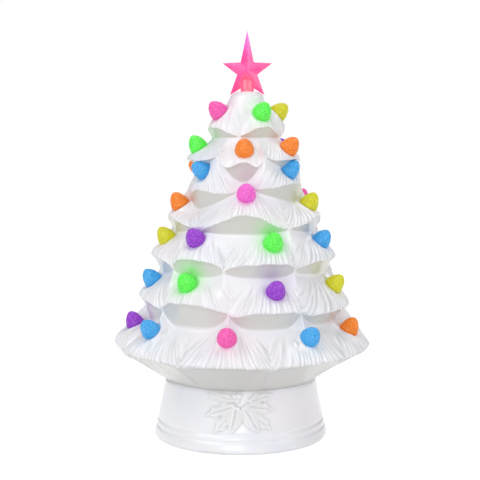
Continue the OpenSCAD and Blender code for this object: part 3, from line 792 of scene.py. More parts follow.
    def start(self, k: int, angle: Array) -> Array:
        """Radius and height where row k starts, which climbs into the creases of the row above.

        Args:
            k: The row, or one past the last for the neck.
            angle: Degrees from the front.

        Returns:
            One radius and height for each angle.
        """
        r, z = self.low(k)
        out = np.empty((len(angle), 2))
        out[:] = (r, z)
        if 0 < k < len(self.tier_r):
            i, u, _ = self.shares(k - 1, angle)
            climb = np.abs(u) ** self.bowl[k - 1]
            out[:, 0] += (self.skirt_r * self.tier_r[k - 1] - r) * self.crease_r[k - 1] * climb
            out[:, 1] += self.height * (self.rise[k] * climb - self.listed(DIPS, k - 1)[i] * (1 - climb))
        return out

    def seat_of(self, b: Branch, t: float) -> Array:
        """Radius and height on the top of a branch, along its middle.

        Args:
            b: The branch.
            t: How far down it, from 0 where it starts to 1 at its tip.

        Returns:
            The radius and the height.
        """
        r, z = self.start(b.row, np.array([float(b.angle)]))[0]
        knots = np.linspace(0, 1, len(self.upper))
        out, down = [np.interp(t, knots, column) for column in zip(*self.upper)]
        return np.array([r + (b.tip_r - r) * out, z + (b.tip_z - z) * down])

    def seat_frame(self, b: Branch) -> Matrix:
        """Where the bulb of a branch stands.

        Args:
            b: The branch.

        Returns:
            The bulb's place and turn, with Z along the bulb, in millimetres.
        """
        t = self.seat[b.row][b.number]
        r, z = self.seat_of(b, t)
        p, q = self.seat_of(b, t - self.slope_reach), self.seat_of(b, t + self.slope_reach)
        slope = math.atan2(p[1] - q[1], q[0] - p[0])
        spot = self.place(np.array(r), np.array(z), np.array(float(b.angle)))
        turn = Matrix.Rotation(math.radians(b.angle - 90), 4, "Z") @ Matrix.Rotation(slope, 4, "Y")
        return Matrix.Translation(Vector(spot)) @ turn @ Matrix.Translation((0, 0, -self.seat_sink))

    def ragged(self, k: int) -> Array:
        """How far the lip of row k hangs at each angle, where the ends of the needles lie uneven.

        Args:
            k: The row.

        Returns:
            The drops, in millimetres.
        """
        rng = np.random.default_rng(50 + k)
        count = int(2 * np.pi * self.skirt_r * self.tier_r[k] / self.needle)
        last = k == len(self.tier_r) - 1
        drops = rng.uniform(-self.needle_drop, self.needle_drop, count)
        drops *= self.skirt_needles if last else 1.0
        at = (self.theta + 180) / 360 * count
        first = np.floor(at).astype(int) % count
        share = smooth(0, 1, at - np.floor(at))
        return drops[first] * (1 - share) + drops[(first + 1) % count] * share

    def ring(self, r: float, z: float) -> Array:
        """One radius and height, the same all round."""
        return np.tile((r, z), (self.around, 1)).astype(float)

    def controls(self) -> tuple[Array, list[tuple[int, float]]]:
        """Places the control points of every column, from the knob down to the neck.

        Returns:
            Knots by columns by radius and height, and for each knot its row and its share down the branch.
        """
        knots: list[Array] = []
        marks: list[tuple[int, float]] = []
        drop = self.top_z - self.low(0)[1]
        for share_r, share_z in self.knob:
            knots.append(self.ring(self.knob_r * share_r, self.top_z - drop * share_z))
            marks.append((0, -1.0))
        for k in range(len(self.tier_r)):
            i, u, _ = self.shares(k, self.theta)
            f = self.fullness(k, u)
            high, low = self.start(k, self.theta), self.start(k + 1, self.theta)
            tip = np.array([(b.tip_r, b.tip_z) for b in self.row(k)])[i]
            tip[:, 1] -= self.height * self.listed(DROOPS, k)[i] * u**2 + self.ragged(k)
            low_r = self.low(k + 1)[0]
            fold = self.ring(low_r + (self.skirt_r * self.tier_r[k] - low_r) * self.crease_r[k], 0)
            fold[:, 1] = low[:, 1] + self.height * self.crease_z[k]
            for s, q in enumerate(self.upper + self.under):
                down = s < len(self.upper)
                t = s / (len(self.upper) - 1) if down else (s - len(self.upper) + 1) / (len(self.under) + 1)
                start, end = (high, tip) if down else (tip, low)
                middle = start + (end - start) * np.array(q)
                side = high + (fold - high) * t if down else fold + (low - fold) * t
                knots.append(side + (middle - side) * np.stack([f, f ** self.arch[k]], -1))
                marks.append((k, t if down else 1 + t))
        knots.append(self.ring(*self.low(len(self.tier_r))))
        marks.append((len(self.tier_r) - 1, 2.0))
        return np.array(knots), marks

    def outer(self) -> tuple[Array, Array, Array]:
        """Draws the outside of the tree as rings.

        Returns:
            Rings by columns by radius and height, the row of each ring, and each ring's share down its branch
            (0 to 1 over the top, 1 to 2 underneath).
        """
        knots, marks = self.controls()
        steps = [self.knob_steps] * len(self.knob) + list(self.steps) * len(self.tier_r)
        rings = []
        for count, (k, a), (_, b) in zip(steps, marks[:-1], marks[1:]):
            b = b if b > a else 2.0
            rings += [(k, a + (b - a) * i / count) for i in range(count)]
        rows, shares = zip(*rings, marks[-1])
        return spline(knots, steps), np.array(rows), np.array(shares)

    def ribs(self, rz: Array, rows: Array, shares: Array) -> Array:
        """Works out how deep the combed grooves cut at each point.

        Args:
            rz: Rings by columns by radius and height.
            rows: The row of each ring.
            shares: Each ring's share down its branch.

        Returns:
            The depth at each point, in millimetres, inwards.
        """
        depth = np.zeros(rz.shape[:2])
        rng = np.random.default_rng(11)
        for k in range(len(self.tier_r)):
            rings = np.flatnonzero((rows == k) & (shares >= 0))
            v = shares[rings][:, None]
            i, _, d = self.shares(k, self.theta)
            spread = np.clip(v, 0.01, 1) ** self.rib_gather_power
            fan = np.where(v <= 1, self.rib_gather + (1 - self.rib_gather) * spread, 1.0)
            for b in self.row(k):
                columns = np.flatnonzero(i == b.number)
                wide = np.radians(d[columns]) * b.tip_r
                along = wide[None, :] / fan
                scale = fan * np.minimum(self.rib_widest, rz[np.ix_(rings, columns)][..., 0] / b.tip_r)
                reach = self.rib_reach * np.abs(wide).max()
                count = int(2 * reach / self.rib_pitch)
                spots = (np.arange(count) + 0.5) / count * 2 * reach - reach
                spots = spots + rng.uniform(-self.rib_stray, self.rib_stray, count) * self.rib_pitch
                starts = rng.uniform(*self.rib_starts, count)
                cuts = self.rib_depth[k] * rng.uniform(*self.rib_cuts, count)
                widths = rng.uniform(*self.rib_widths, count)
                total = np.zeros(along.shape)
                for spot, start, cut, width in zip(spots, starts, cuts, widths):
                    fade = smooth(start, start + self.rib_fade, v) * (1 - smooth(*self.rib_ends, v))
                    total += cut * fade * np.exp(-(((along - spot) * scale / width) ** 2))
                depth[np.ix_(rings, columns)] = np.minimum(total, self.rib_most * self.rib_depth[k])
        return depth

    def underside(self, rz: Array, rows: Array, shares: Array) -> Array:
        """Works out how far each point lies under the lip of its branch.

        Args:
            rz: Rings by columns by radius and height.
            rows: The row of each ring.
            shares: Each ring's share down its branch.

        Returns:
            1 on the underside of a branch and 0 on its top and in a crease.
        """
        out = np.zeros(rz.shape[:2])
        for k in range(len(self.tier_r)):
            rings = np.flatnonzero(rows == k)
            _, u, _ = self.shares(k, self.theta)
            full = smooth(*self.shade_across, self.fullness(k, u))[None, :]
            v = shares[rings][:, None]
            out[rings] = smooth(*self.shade_from, v) * (1 if k == len(self.tier_r) - 1 else full)
        return out

    def relax_seats(self, points: Array) -> Array:
        """Levels the glaze under each bulb, so that the bulb sits flush.

        Args:
            points: Points of the surface.

        Returns:
            The points with a small flat at each seat.
        """
        out = points.copy()
        for b in self.branches:
            inverse = np.array(self.seat_frame(b).inverted())
            local = out @ inverse[:3, :3].T + inverse[:3, 3]
            far = np.hypot(local[..., 0], local[..., 1])
            near = np.abs(local[..., 2]) < self.seat_blend_h
            weight = (1 - smooth(self.seat_flat_r, self.seat_blend_r, far)) * near
            local[..., 2] *= 1 - weight
            back = np.array(self.seat_frame(b))
            moved = local @ back[:3, :3].T + back[:3, 3]
            out = np.where(weight[..., None] > 0, moved, out)
        return out

    def hollow(self) -> Array:
        """Draws the hollow inside, from the mouth up to the star's bore.

        Returns:
            The points, as rings by columns by coordinates.
        """
        top, last = self.top_z, len(self.tier_r) - 1
        low = [(self.mouth_r, self.tree_z), (self.mouth_r, self.tree_z + self.mouth_h)]
        belly_z = self.tree_z + self.height * self.crease_z[last] + self.belly_up
        low.append((self.skirt_r * self.belly, belly_z))
        for k in range(last, 0, -1):
            r, z = self.low(k)
            low.append((r - self.wall, z))
        low += [(self.peak_r, top - self.peak_deep), (self.lead_r, top - self.lead_deep)]
        low.append((self.lead_r, top - self.bore_deep))
        low += [(self.bore_r, top - self.bore_deep), (self.bore_r, top - self.bore_top)]
        rz = np.repeat(np.array(low)[:, None, :], self.around, 1)
        return self.place(rz[..., 0], rz[..., 1], np.broadcast_to(self.theta, rz.shape[:2]))

    def glow_at(self, points: Array, normals: Array) -> Array:
        """Works out the colour that the lit bulbs throw on the glaze.

        Args:
            points: Points of the surface.
            normals: The outward direction at each point.

        Returns:
            Red, green, blue and weight at each point.
        """
        colour = np.zeros((*points.shape[:2], 3))
        weight = np.zeros(points.shape[:2])
        for b in self.branches:
            to = np.array((self.seat_frame(b) @ Matrix.Translation((0, 0, self.lamp_h))).translation) - points
            d = np.linalg.norm(to, axis=-1)
            near = d < self.glow_r
            facing = np.clip(np.sum(to[near] * normals[near], -1) / d[near], 0, 1)
            fade = np.exp(-((np.maximum(0, d[near] - self.seat_flat_r) / self.glow_fade) ** self.glow_power))
            w = np.zeros(points.shape[:2])
            w[near] = b.bulb.glow * (self.glow_turned + (1 - self.glow_turned) * facing) * fade
            colour += w[..., None] * np.array(linear(b.bulb.value)[:3])
            weight += w
        colour /= np.maximum(weight, 1e-6)[..., None]
        weight = np.minimum(self.glow_strongest, self.glow_share * weight)
        return np.concatenate([colour, weight[..., None]], -1)

    def build(self, glaze: Material) -> Piece:
        """Makes the glazed tree.

        Args:
            glaze: The finish.

        Returns:
            The tree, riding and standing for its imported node.
        """
        rz, rows, shares = self.outer()
        angle = np.broadcast_to(self.theta, rz.shape[:2])
        points = self.place(rz[..., 0], rz[..., 1], angle)
        normals = grid_normals(points)
        ribs = self.ribs(rz, rows, shares)
        points = self.relax_seats(points - normals * ribs[..., None])
        normals = grid_normals(points)
        # Painted shade: a warm grey under the lips, stronger on the upper rows, and in the deeper grooves
        hidden = self.underside(rz, rows, shares) * smooth(*self.shade_slope, -normals[..., 2])
        hidden *= self.shade + self.upper_shade * smooth(*self.upper_z, points[..., 2])
        hidden = np.maximum(hidden, self.rib_shade * np.clip(ribs / self.rib_full, 0, 1))
        glow = self.glow_at(points, normals)
        inner = self.hollow()
        grid = np.concatenate([points, inner])
        piece = mesh_piece("tree", grid.reshape(-1, 3), grid_faces(len(grid), self.around, loop=True), glaze)
        # The inside gets an even painted shade
        dark = np.concatenate([hidden, np.full(inner.shape[:2], self.inner_shade)])
        lit = np.concatenate([glow, np.zeros((*inner.shape[:2], 4))])
        paint(piece, "hollow", dark.ravel())
        paint(piece, "glow", lit.reshape(-1, 4))
        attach(piece, "tree")
        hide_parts("tree_casting")
        return piece


# Bulbs


@dataclass
class SugaredBulb:
    """A gumdrop bulb with a crystal grain, on a peg. Lengths are in millimetres."""

    radius: float = 8.2
    height: float = 13.6
    gap: float = 0.3
    flat: float = 1.9
    point: float = 0.62
    foot_share: float = 0.1
    foot_round: float = 0.5
    # The underside and the peg
    under_r: tuple = (7.0, 5.0)
    peg_r: float = 2.3
    peg_l: float = 9.0
    peg_round: tuple = (0.5, 0.6)
    pole_r: float = 0.02
    # The crystal grain
    grains: int = 460
    grain_h: float = 0.3
    grain_gap: float = 0.35
    grain_sunk: float = 0.12
    grain_stray: float = 0.22
    grain_heights: tuple = (0.1, 1.0)
    grain_tilt: float = 0.5
    grain_most: tuple = (-0.2, 1.3)
    golden_turn: float = 2.39996
    # The painted shade that darkens the foot, and how fast it fades up the dome
    foot_shade: float = 0.5
    foot_fade: float = 1.4
    # How fine the mesh is
    around: int = 96
    up: int = 34

    def dome_r(self, t: Array, least: float = 0.0) -> Array:
        """The dome's radius at shares t of its height, before its foot is rounded."""
        return self.radius * np.maximum(least, 1 - t**self.flat) ** self.point

    def outline(self) -> Array:
        """Draws the bulb's outline, from the tip down to the end of the peg.

        Returns:
            Rows of radius and height.
        """
        t = np.linspace(1, 0, self.up) ** 0.8
        foot = np.clip(1 - t / self.foot_share, 0, 1)
        dome = np.stack([self.dome_r(t) - self.foot_round * foot**2, self.gap + self.height * t], -1)
        dome[0, 0] = self.pole_r
        under = [(r, 0.0) for r in (*self.under_r, self.peg_r)]
        under.append((self.peg_r, -self.peg_l + self.peg_round[1]))
        under += [(self.peg_r - self.peg_round[0], -self.peg_l), (self.pole_r, -self.peg_l)]
        return np.concatenate([dome, np.array(under) + (0, self.gap)])

    def mesh(self, tint: BulbColour, finish: Material) -> bpy.types.Mesh:
        """Makes the mesh that all bulbs of one tint share.

        Args:
            tint: The tint, which also picks the grain's pattern.
            finish: The finish.

        Returns:
            The mesh, in metres, with Z along the bulb.
        """
        rng = np.random.default_rng(len(tint.name) * 7 + ord(tint.name[0]))
        rz = np.repeat(self.outline()[:, None, :], self.around, 1)
        a = np.broadcast_to(np.arange(self.around) * 2 * np.pi / self.around, rz.shape[:2])
        points = np.stack([rz[..., 0] * np.sin(a), -rz[..., 0] * np.cos(a), rz[..., 1]], -1)
        normals = grid_normals(points)
        t = 1 - (np.arange(self.grains) + 0.5) / self.grains
        turn = np.arange(self.grains) * self.golden_turn
        seed_r = self.dome_r(t, 0.002)
        seeds = np.stack([seed_r * np.sin(turn), -seed_r * np.cos(turn), self.gap + self.height * t], -1)
        seeds += rng.normal(0, self.grain_stray, seeds.shape)
        heights = rng.uniform(*self.grain_heights, self.grains)
        tilts = rng.normal(0, self.grain_tilt, (self.grains, 3))
        dome = points[: self.up]
        far = np.linalg.norm(dome[:, :, None, :] - seeds[None, None], axis=-1)
        order = np.argpartition(far, 2, axis=-1)[..., :2]
        two = np.take_along_axis(far, order, -1)
        first = np.where(two[..., 0] <= two[..., 1], order[..., 0], order[..., 1])
        gap = np.abs(two[..., 0] - two[..., 1])
        slant = np.einsum("ijk,ijk->ij", dome - seeds[first], tilts[first])
        lift = self.grain_h * (heights[first] + slant) * smooth(0.0, self.grain_gap, gap) - self.grain_sunk
        lift = np.clip(lift, self.grain_most[0], self.grain_h * self.grain_most[1])
        points[: self.up] += normals[: self.up] * lift[..., None]
        faces = grid_faces(len(points), self.around)
        piece = mesh_piece(f"grain_{tint.name.lower()}", points.reshape(-1, 3), faces, finish)
        # Painted shade weight, strongest at the foot
        up = np.clip((rz[..., 1] - self.gap) / self.height, 0, 1)
        paint(piece, "foot_share", (self.foot_shade * (1 - up) ** self.foot_fade).ravel())
        mesh = piece.data
        bpy.data.objects.remove(piece)
        return mesh


@dataclass
class BulbSet:
    """All the bulbs, one on each branch of the tree."""

    tree: TreeForm
    bulb: SugaredBulb = field(default_factory=SugaredBulb)
    turn_each: float = 1.7

    def build(self) -> list[Piece]:
        """Stands a bulb on every branch.

        Returns:
            The bulbs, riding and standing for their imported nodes.
        """
        meshes = {c: self.bulb.mesh(c, SugaredAcrylic(c).build()) for c in BulbColour}
        pieces = []
        for number, branch in enumerate(self.tree.branches):
            piece = bpy.data.objects.new(f"sugared_{branch.node}", meshes[branch.bulb])
            bpy.context.scene.collection.objects.link(piece)
            at = self.tree.seat_frame(branch)
            at.translation *= MM
            piece.matrix_world = at @ Matrix.Rotation(number * self.turn_each, 4, "Z")
            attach(piece, "tree")
            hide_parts(branch.node)
            pieces.append(piece)
        return pieces


# Star


@dataclass
class StarForm:
    """The star: five long faceted points round a raised middle, on a round stem. Lengths in millimetres."""

    width: float = 43.0
    height: float = 55.6
    thick: float = 11.0
    edge: float = 0.8
    middle: float = 0.392
    half: tuple = ((0, 1), (0.134, 0.51), (0.5, 0.495), (0.204, 0.318), (0.351, 0), (0, 0.17))
    # The stem, and where the star stands
    centre_x: float = 5.8
    foot_z: float = 290.0
    low_z: float = 300.3
    stem_r: float = 5.8
    stem_top: float = 0.24
    stem_round: float = 0.4
    chamfer: float = 0.5
    pole_r: float = 0.02
    # The warm core and the tinted tips
    core_r: float = 6.5
    core_z: tuple = (-6.0, 9.0)
    tip_z: tuple = (6.0, 34.0)
    tip_tint: float = 0.85
    # How fine the mesh is
    around: int = 48
    fine: int = 14

    @property
    def outline(self) -> list[tuple[float, float]]:
        """The star's outline, clockwise from its top, as shares of its width and height."""
        return list(self.half) + [(-x, z) for x, z in self.half[-2:0:-1]]

    def side(self, sign: int) -> tuple[Array, Array]:
        """Draws one face of the star, each facet as a fine grid that meets its neighbours.

        Args:
            sign: -1 for the front, 1 for the back.

        Returns:
            Points and four-cornered faces.
        """
        rim = np.array([(x * self.width, z * self.height) for x, z in self.outline])
        hub = np.array((0.0, self.middle * self.height))
        points, faces = [], []
        n, m = len(rim), self.fine + 1
        for i in range(n):
            a, b = rim[i], rim[(i + 1) % n]
            t = (np.linspace(0, 1, m) ** 0.9)[:, None, None]
            s = np.linspace(0, 1, m)[None, :, None]
            flat = hub * (1 - t) + (a * (1 - s) + b * s) * t
            rise = (1 - t[..., 0]) * np.ones(m)[None, :]
            y = sign * (self.edge / 2 + (self.thick - self.edge) / 2 * rise)
            points.append(np.stack([flat[..., 0], y, flat[..., 1]], -1).reshape(-1, 3))
            r, c = np.meshgrid(np.arange(self.fine), np.arange(self.fine), indexing="ij")
            q = i * m * m + r * m + c
            ring = [q, q + m, q + m + 1, q + 1]
            faces.append(np.stack(ring if sign > 0 else ring[::-1], -1).reshape(-1, 4))
        return np.concatenate(points), np.concatenate(faces)

    def build(self, finish: Material) -> Piece:
        """Makes the star on its stem.

        Args:
            finish: The finish.

        Returns:
            The star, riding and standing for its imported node.
        """
        front, front_faces = self.side(-1)
        back, back_faces = self.side(1)
        n, m = len(self.outline), self.fine + 1
        rim = np.concatenate([i * m * m + self.fine * m + np.arange(m) for i in range(n)])
        wall = np.stack([rim[:-1], rim[1:], rim[1:] + len(front), rim[:-1] + len(front)], -1)
        wall = wall[np.arange(len(wall)) % m != m - 1]
        top, low = self.low_z + self.stem_top * self.height, self.foot_z
        stem_rz = [(self.pole_r, low), (self.stem_r - self.stem_round, low)]
        stem_rz += [(self.stem_r, low + self.stem_round), (self.stem_r, top - self.chamfer)]
        stem_rz += [(self.stem_r - self.chamfer, top), (self.pole_r, top)]
        stem = turned(stem_rz[::-1], np.arange(self.around) * 2 * np.pi / self.around)
        star = np.concatenate([front, back]) + (0, 0, self.low_z)
        points = np.concatenate([star, stem.reshape(-1, 3)])
        points[:, 0] += self.centre_x
        facets = np.concatenate([front_faces, back_faces + len(front), wall])
        faces = np.concatenate([facets, grid_faces(len(stem), self.around) + len(star)])
        piece = mesh_piece("star", points, faces, finish)
        piece.data.polygons.foreach_set("use_smooth", np.arange(len(faces)) >= len(facets))
        near = np.exp(-((np.abs(points[:, 0] - self.centre_x) / self.core_r) ** 2))
        paint(piece, "lit_core", near * (1 - smooth(*self.core_z, points[:, 2] - top)))
        hub = self.low_z + self.middle * self.height
        paint(piece, "far_share", self.tip_tint * smooth(*self.tip_z, points[:, 2] - hub))
        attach(piece, "star")
        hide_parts("star_topper")
        return piece


# Base


@dataclass
class Leaf:
    """One leaf of the relief: where it starts, where it points, and its size in millimetres."""

    x: float
    z: float
    angle: float
    length: float
    width: float
    teeth: int
    rise: float = 1.0


@dataclass
class BaseForm:
    """The slip-cast base: a flared foot with two turned grooves, a deck and ring, and a leaf relief in front.

    Lengths are in millimetres.
    """

    foot_r: float = 76.3
    neck_r: float = 66.5
    seam_z: float = 52.0
    rim_z: float = 4.8
    flare: float = 0.44
    foot_round: float = 1.1
    foot_z: tuple = (3.4, 0.8)
    neck_round: float = 0.9
    neck_h: float = 2.2
    # The two turned grooves
    grooves: tuple = (16.5, 10.8)
    groove_deep: float = 0.85
    groove_half: float = 1.25
    # The deck, and the ring that the tree stands round
    wall: float = 5.0
    deck_t: float = 5.0
    deck_hole_r: float = 46.0
    ring_r: float = 59.2
    ring_t: float = 4.5
    ring_h: float = 5.0
    ring_edge: float = 0.8
    # The lip round the plate and the inside, as radius beyond the plate and height
    plate_r: float = 67.2
    inside: tuple = (
        (0.6, 0.8), (0.3, 1.2), (0.3, 5.0), (-2.5, 5.0), (-2.5, 9.0), (-0.2, 13.0), (-4.2, 40.0),
    )
    # The leaf relief in front
    front_deg: float = 34.0
    relief: float = 2.2
    relief_top: float = 2.5
    overlap: float = 0.8
    leaves: tuple = (
        Leaf(6, 44, 14, 22, 13, 3, 0.8),
        Leaf(6, 36, 322, 26, 14, 3, 0.8),
        Leaf(-4, 45, 166, 28, 13, 3, 0.8),
        Leaf(-5, 36, 226, 26, 14, 3, 0.8),
        Leaf(3, 41, 350, 26, 14, 3, 1.0),
        Leaf(-4, 41, 200, 28, 14, 3, 1.0),
        Leaf(2, 41, 300, 26, 15, 0, 1.0),
        Leaf(-3, 41, 258, 24, 15, 0, 1.1),
    )
    leaf_edge: float = 1.5
    leaf_round: float = 0.75
    tooth: float = 0.34
    tooth_power: float = 1.5
    curl: tuple = (0.55, 0.6)
    vein_half: float = 0.7
    vein_deep: float = 0.5
    vein_from: tuple = (0.05, 0.2)
    rib_pitch: float = 3.4
    rib_deep: float = 0.12
    rib_slant: float = 0.9
    berries: tuple = ((-5.0, 48.5), (-0.8, 49.0), (-2.8, 44.8))
    berry_r: float = 2.7
    berry_h: float = 2.4
    # The painted shade on and round the leaves and inside
    reach: tuple = (9, 12)
    leaf_shade: float = 0.3
    crease_shade: float = 0.5
    deepest_shade: float = 0.6
    inner_shade: float = 0.5
    # How fine the mesh is round the front and round the rest
    front_steps: int = 400
    back_steps: int = 220

    def side(self, z: Array) -> Array:
        """The radius of the flared side at each height, with its grooves and rounded lip.

        Args:
            z: Heights above the standing plane.

        Returns:
            The radii.
        """
        a, c = (self.foot_r, self.rim_z), (self.neck_r, self.seam_z)
        b = (self.neck_r + (self.foot_r - self.neck_r) * self.flare, (a[1] + c[1]) / 2)
        t = np.linspace(0, 1, 60)
        curve = [(1 - t) ** 2 * a[i] + 2 * t * (1 - t) * b[i] + t * t * c[i] for i in (0, 1)]
        r = np.interp(z, curve[1], curve[0])
        for groove in self.grooves:
            r = r - self.groove_deep * np.exp(-(((z - groove) / self.groove_half) ** 2))
        r = r - self.foot_round * smooth(*self.foot_z, z) ** 2
        return r - self.neck_round * smooth(self.seam_z - self.neck_h, self.seam_z, z)

    def leaf_height(self, leaf: Leaf, x: Array, z: Array) -> tuple[Array, Array]:
        """How much of each place one leaf covers, and how high it stands there.

        Args:
            leaf: The leaf.
            x: Places across the front, in millimetres.
            z: Heights.

        Returns:
            The share covered and the height of the relief, both 0 off the leaf.
        """
        turn = math.radians(leaf.angle)
        along = (x - leaf.x) * math.cos(turn) + (z - leaf.z) * math.sin(turn)
        off = -(x - leaf.x) * math.sin(turn) + (z - leaf.z) * math.cos(turn)
        s = along / leaf.length
        inside = np.clip(s, 0, 1)
        half = leaf.width / 2 * np.sin(np.pi * inside**self.leaf_round) ** self.leaf_round
        if leaf.teeth:
            notch = np.abs(np.sin(np.pi * leaf.teeth * inside)) ** self.tooth_power
            half = half * (1 - self.tooth * notch)
        edge = np.minimum(half - np.abs(off), np.minimum(s, 1 - s) * leaf.length)
        body = smooth(0.0, self.leaf_edge, edge)
        vein = self.vein_deep * np.exp(-((off / self.vein_half) ** 2)) * smooth(*self.vein_from, s)
        slant = along - np.abs(off) * self.rib_slant
        ribs = self.rib_deep * np.abs(np.sin(slant * np.pi / self.rib_pitch)) ** 4
        curl = self.curl[0] + self.curl[1] * np.clip(1 - np.abs(off) / np.maximum(half, 0.5), 0, 1)
        return body, leaf.rise * body * (curl - vein - ribs)

    def build(self, glaze: Material) -> Piece:
        """Makes the glazed base.

        Args:
            glaze: The finish.

        Returns:
            The base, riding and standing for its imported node.
        """
        front = np.linspace(-self.front_deg, self.front_deg, self.front_steps, endpoint=False)
        rest = np.linspace(self.front_deg, 360 - self.front_deg, self.back_steps, endpoint=False)
        # Fine rings over the relief and the grooves, coarse ones down the foot
        spans = ((self.seam_z, 17.0, 130), (16.9, 8.0, 40), (7.6, 0.8, 12))
        heights = np.concatenate([np.linspace(*span) for span in spans])
        deck, inner, top = self.seam_z - self.deck_t, self.ring_r - self.ring_t, self.seam_z + self.ring_h
        edge = self.ring_edge
        # The rings run up from under the deck, over the ring that the tree stands round, down the side and
        # back up the inside
        above = [(self.neck_r - self.wall, deck), (self.deck_hole_r, deck), (self.deck_hole_r, self.seam_z)]
        above += [(inner, self.seam_z), (inner, top - edge), (inner + edge, top), (self.ring_r - edge, top)]
        above += [(self.ring_r, top - edge), (self.ring_r, self.seam_z)]
        below = [(self.plate_r + r, z) for r, z in self.inside]
        a = np.radians(np.concatenate([front, rest]))
        x = self.side(heights)[:, None] * np.sin(a)[None, :]
        z = np.broadcast_to(heights[:, None], x.shape)
        stand, cover = np.zeros(x.shape), np.zeros(x.shape)
        for leaf in self.leaves:
            body, height = self.leaf_height(leaf, x, z)
            stand = stand * (1 - self.overlap * body) + self.relief * height
            cover = np.maximum(cover, body)
        for bx, bz in self.berries:
            far = np.hypot(x - bx, z - bz) / self.berry_r
            stand = np.maximum(stand, self.berry_h * np.sqrt(np.clip(1 - far**2, 0, 1)))
        stand *= np.cos(a)[None, :] > 0
        r = self.side(heights)[:, None] + stand * smooth(self.seam_z, self.seam_z - self.relief_top, z)
        sides = np.stack([r * np.sin(a), -r * np.cos(a), z], -1)
        grid = np.concatenate([turned(above, a), sides, turned(below, a)])
        faces = grid_faces(len(grid), len(a), loop=True)
        piece = mesh_piece("base", grid.reshape(-1, 3), faces, glaze)
        # Painted shade: grey on the leaves, darker in the creases round them, and even inside
        around = blurred(blurred(stand, self.reach[0], 0), self.reach[1], 1)
        sunk = np.clip(self.leaf_shade * cover + self.crease_shade * (around - stand), 0, self.deepest_shade)
        hollow = np.full(grid.shape[:2], self.inner_shade)
        hollow[len(above) : len(above) + len(heights)] = sunk * (np.cos(a)[None, :] > 0)
        paint(piece, "hollow", hollow.ravel())
        paint(piece, "glow", np.zeros((hollow.size, 4)))
        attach(piece, "base")
        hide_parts("base_casting")
        return piece


# Light unit


@dataclass
class LightUnit:
    """The pieces below and inside the base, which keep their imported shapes."""

    finishes: tuple = (
        (WHITE_ABS, ("bottom_plate", "battery_door")),
        (PLATED_STEEL, ("door_pin", "door_screw", "contact_plates", "contact_springs", "board_screws")),
        (CELL_SLEEVE, ("battery_cells",)),
        (BOARD_MASK, ("lamp_board",)),
        (LAMP_EPOXY, ("lamps",)),
        (FROSTED_CAP, ("light_cap",)),
        (BLACK_NYLON, ("switch_body", "switch_knob")),
        (RED_LEAD, ("lead_wires",)),
        (FOOT_RUBBER, ("rubber_feet",)),
    )
    rounded: tuple = ("contact_springs", "battery_cells", "lamps")
    edge_mm: float = 0.25
    edge_deg: float = 40.0

    def dress(self) -> list[Piece]:
        """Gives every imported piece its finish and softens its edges.

        Returns:
            The dressed pieces.
        """
        pieces = []
        for finish, nodes in self.finishes:
            material = finish.build()
            for name in nodes:
                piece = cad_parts[name]
                piece.data.materials.clear()
                piece.data.materials.append(material)
                if name not in self.rounded:
                    soft = piece.modifiers.new("soft_edges", "BEVEL")
                    soft.width = self.edge_mm * MM
                    soft.segments = 2
                    soft.limit_method = "ANGLE"
                    soft.angle_limit = math.radians(self.edge_deg)
                pieces.append(piece)
        return pieces


# Studio


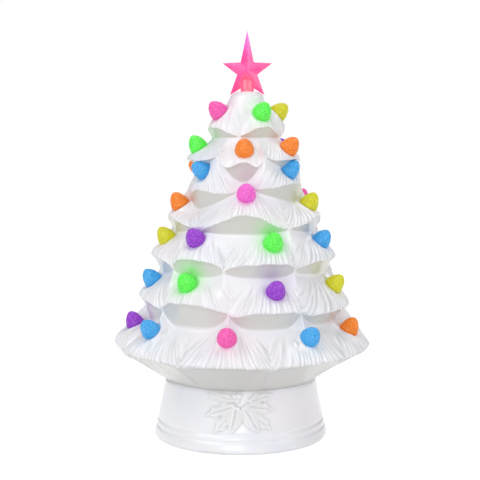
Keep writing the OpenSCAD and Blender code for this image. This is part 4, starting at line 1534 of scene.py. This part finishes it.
@dataclass
class Studio:
    """A white floor, soft lamps and the camera that sees the tree as photographed."""

    camera_mm: tuple = (0.0, -950.0, 252.0)
    pitch_deg: float = 4.741
    lens_mm: float = 80.88
    film_mm: float = 36.0
    clip_m: tuple = (0.05, 50.0)
    shift_x: float = -0.00125
    lamps: tuple = (
        ("left_softbox", (-1.3, -1.1, 1.5), 1.3, 13.0),
        ("right_softbox", (1.5, -0.9, 1.0), 1.1, 7.0),
        ("front_softbox", (-0.3, -1.9, 0.3), 1.0, 11.0),
        ("top_softbox", (0.1, 0.2, 2.0), 1.5, 8.0),
        ("back_softbox", (0.5, 1.9, 0.9), 1.4, 6.0),
    )
    aim_z: float = 0.17
    floor_half: float = 9.0
    paper: tuple = ("#F2F2F2", "#EFEFEF")
    fibre_scale: float = 60.0
    floor_grey: float = 0.3
    floor_shine: float = 0.91
    surround: float = 0.42
    surround_tint: str = "#F5F6FA"

    def camera(self) -> Piece:
        """Places the camera.

        Returns:
            The camera.
        """
        data = bpy.data.cameras.new("camera")
        data.lens, data.sensor_width, data.shift_x = self.lens_mm, self.film_mm, self.shift_x
        data.clip_start, data.clip_end = self.clip_m
        camera = bpy.data.objects.new("camera", data)
        camera.location = Vector(self.camera_mm) * MM
        camera.rotation_euler = (math.radians(90 - self.pitch_deg), 0, 0)
        bpy.context.scene.collection.objects.link(camera)
        bpy.context.scene.camera = camera
        return camera

    def seen(self, tree: Tree, also: str) -> Socket:
        """Tells where the camera looks straight, or by the kind of ray that is also named.

        Args:
            tree: The node tree.
            also: The other kind of ray.

        Returns:
            A socket that is 1 for those rays and 0 for the others.
        """
        rays = add_node(tree, "ShaderNodeLightPath").outputs
        either = {0: rays["Is Camera Ray"], 1: rays[also]}
        return add_node(tree, "ShaderNodeMath", either, operation="MAXIMUM").outputs[0]

    def floor(self) -> Piece:
        """Lays a white floor that keeps a soft shadow.

        Returns:
            The floor.
        """
        mesh = bpy.data.meshes.new("floor")
        h = self.floor_half
        mesh.from_pydata([(-h, -h, 0), (h, -h, 0), (h, h, 0), (-h, h, 0)], [], [(0, 1, 2, 3)])
        material, tree = new_material("paper_sweep_white")
        fibre = add_node(tree, "ShaderNodeTexNoise", {"Scale": self.fibre_scale, "Detail": 3.0})
        paper = layered(tree, linear(self.paper[0]), (fibre, linear(self.paper[1])))
        bounce = add_node(tree, "ShaderNodeBsdfDiffuse", {"Color": paper})
        dim = add_node(tree, "ShaderNodeBsdfDiffuse", {"Color": (*[self.floor_grey] * 3, 1)})
        shine = add_node(tree, "ShaderNodeEmission", {"Color": (1, 1, 1, 1), "Strength": self.floor_shine})
        both = add_node(tree, "ShaderNodeAddShader", {0: dim, 1: shine})
        seen = self.seen(tree, "Is Glossy Ray")
        mixed = add_node(tree, "ShaderNodeMixShader", {0: seen, 1: bounce, 2: both})
        add_node(tree, "ShaderNodeOutputMaterial", {"Surface": mixed})
        mesh.materials.append(material)
        floor = bpy.data.objects.new("floor", mesh)
        bpy.context.scene.collection.objects.link(floor)
        return floor

    def light(self) -> None:
        """Hangs the softboxes and sets a white surround that the camera sees as plain white."""
        for name, place, size, power in self.lamps:
            data = bpy.data.lights.new(name, "AREA")
            data.energy, data.size = power, size
            lamp = bpy.data.objects.new(name, data)
            lamp.location = place
            aim = Vector((0, 0, self.aim_z)) - Vector(place)
            lamp.rotation_euler = aim.to_track_quat("-Z", "Y").to_euler()
            bpy.context.scene.collection.objects.link(lamp)
        world = bpy.data.worlds.new("surround")
        bpy.context.scene.world = world
        world.use_nodes = True
        tree = world.node_tree
        tree.nodes.clear()
        tint = linear(self.surround_tint)
        soft = add_node(tree, "ShaderNodeBackground", {"Color": tint, "Strength": self.surround})
        white = add_node(tree, "ShaderNodeBackground", {"Color": (1, 1, 1, 1), "Strength": 1.0})
        seen = self.seen(tree, "Is Transmission Ray")
        mixed = add_node(tree, "ShaderNodeMixShader", {0: seen, 1: soft, 2: white})
        add_node(tree, "ShaderNodeOutputWorld", {"Surface": mixed})

    def build(self) -> None:
        """Sets up the whole studio."""
        scene = bpy.context.scene
        scene.view_settings.view_transform = "Standard"
        self.camera()
        self.floor()
        self.light()


def main() -> None:
    """Builds the studio and every piece, and reports each."""
    logging.basicConfig(level=logging.INFO, format="%(message)s")
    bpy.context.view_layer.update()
    Studio().build()
    LOG.info("studio: camera, floor and lamps")
    glaze = PearlGlaze().build()
    form = TreeForm()
    tree = form.build(glaze)
    LOG.info("tree: %d points, %d branches", len(tree.data.vertices), len(form.branches))
    base = BaseForm().build(glaze)
    LOG.info("base: %d points", len(base.data.vertices))
    bulbs = BulbSet(form).build()
    LOG.info("bulbs: %d", len(bulbs))
    star = StarForm().build(ClearAcrylic().build())
    LOG.info("star: %d points", len(star.data.vertices))
    for piece in LightUnit().dress():
        LOG.info("light unit: %s", piece.name)


if __name__ == "__main__":
    main()
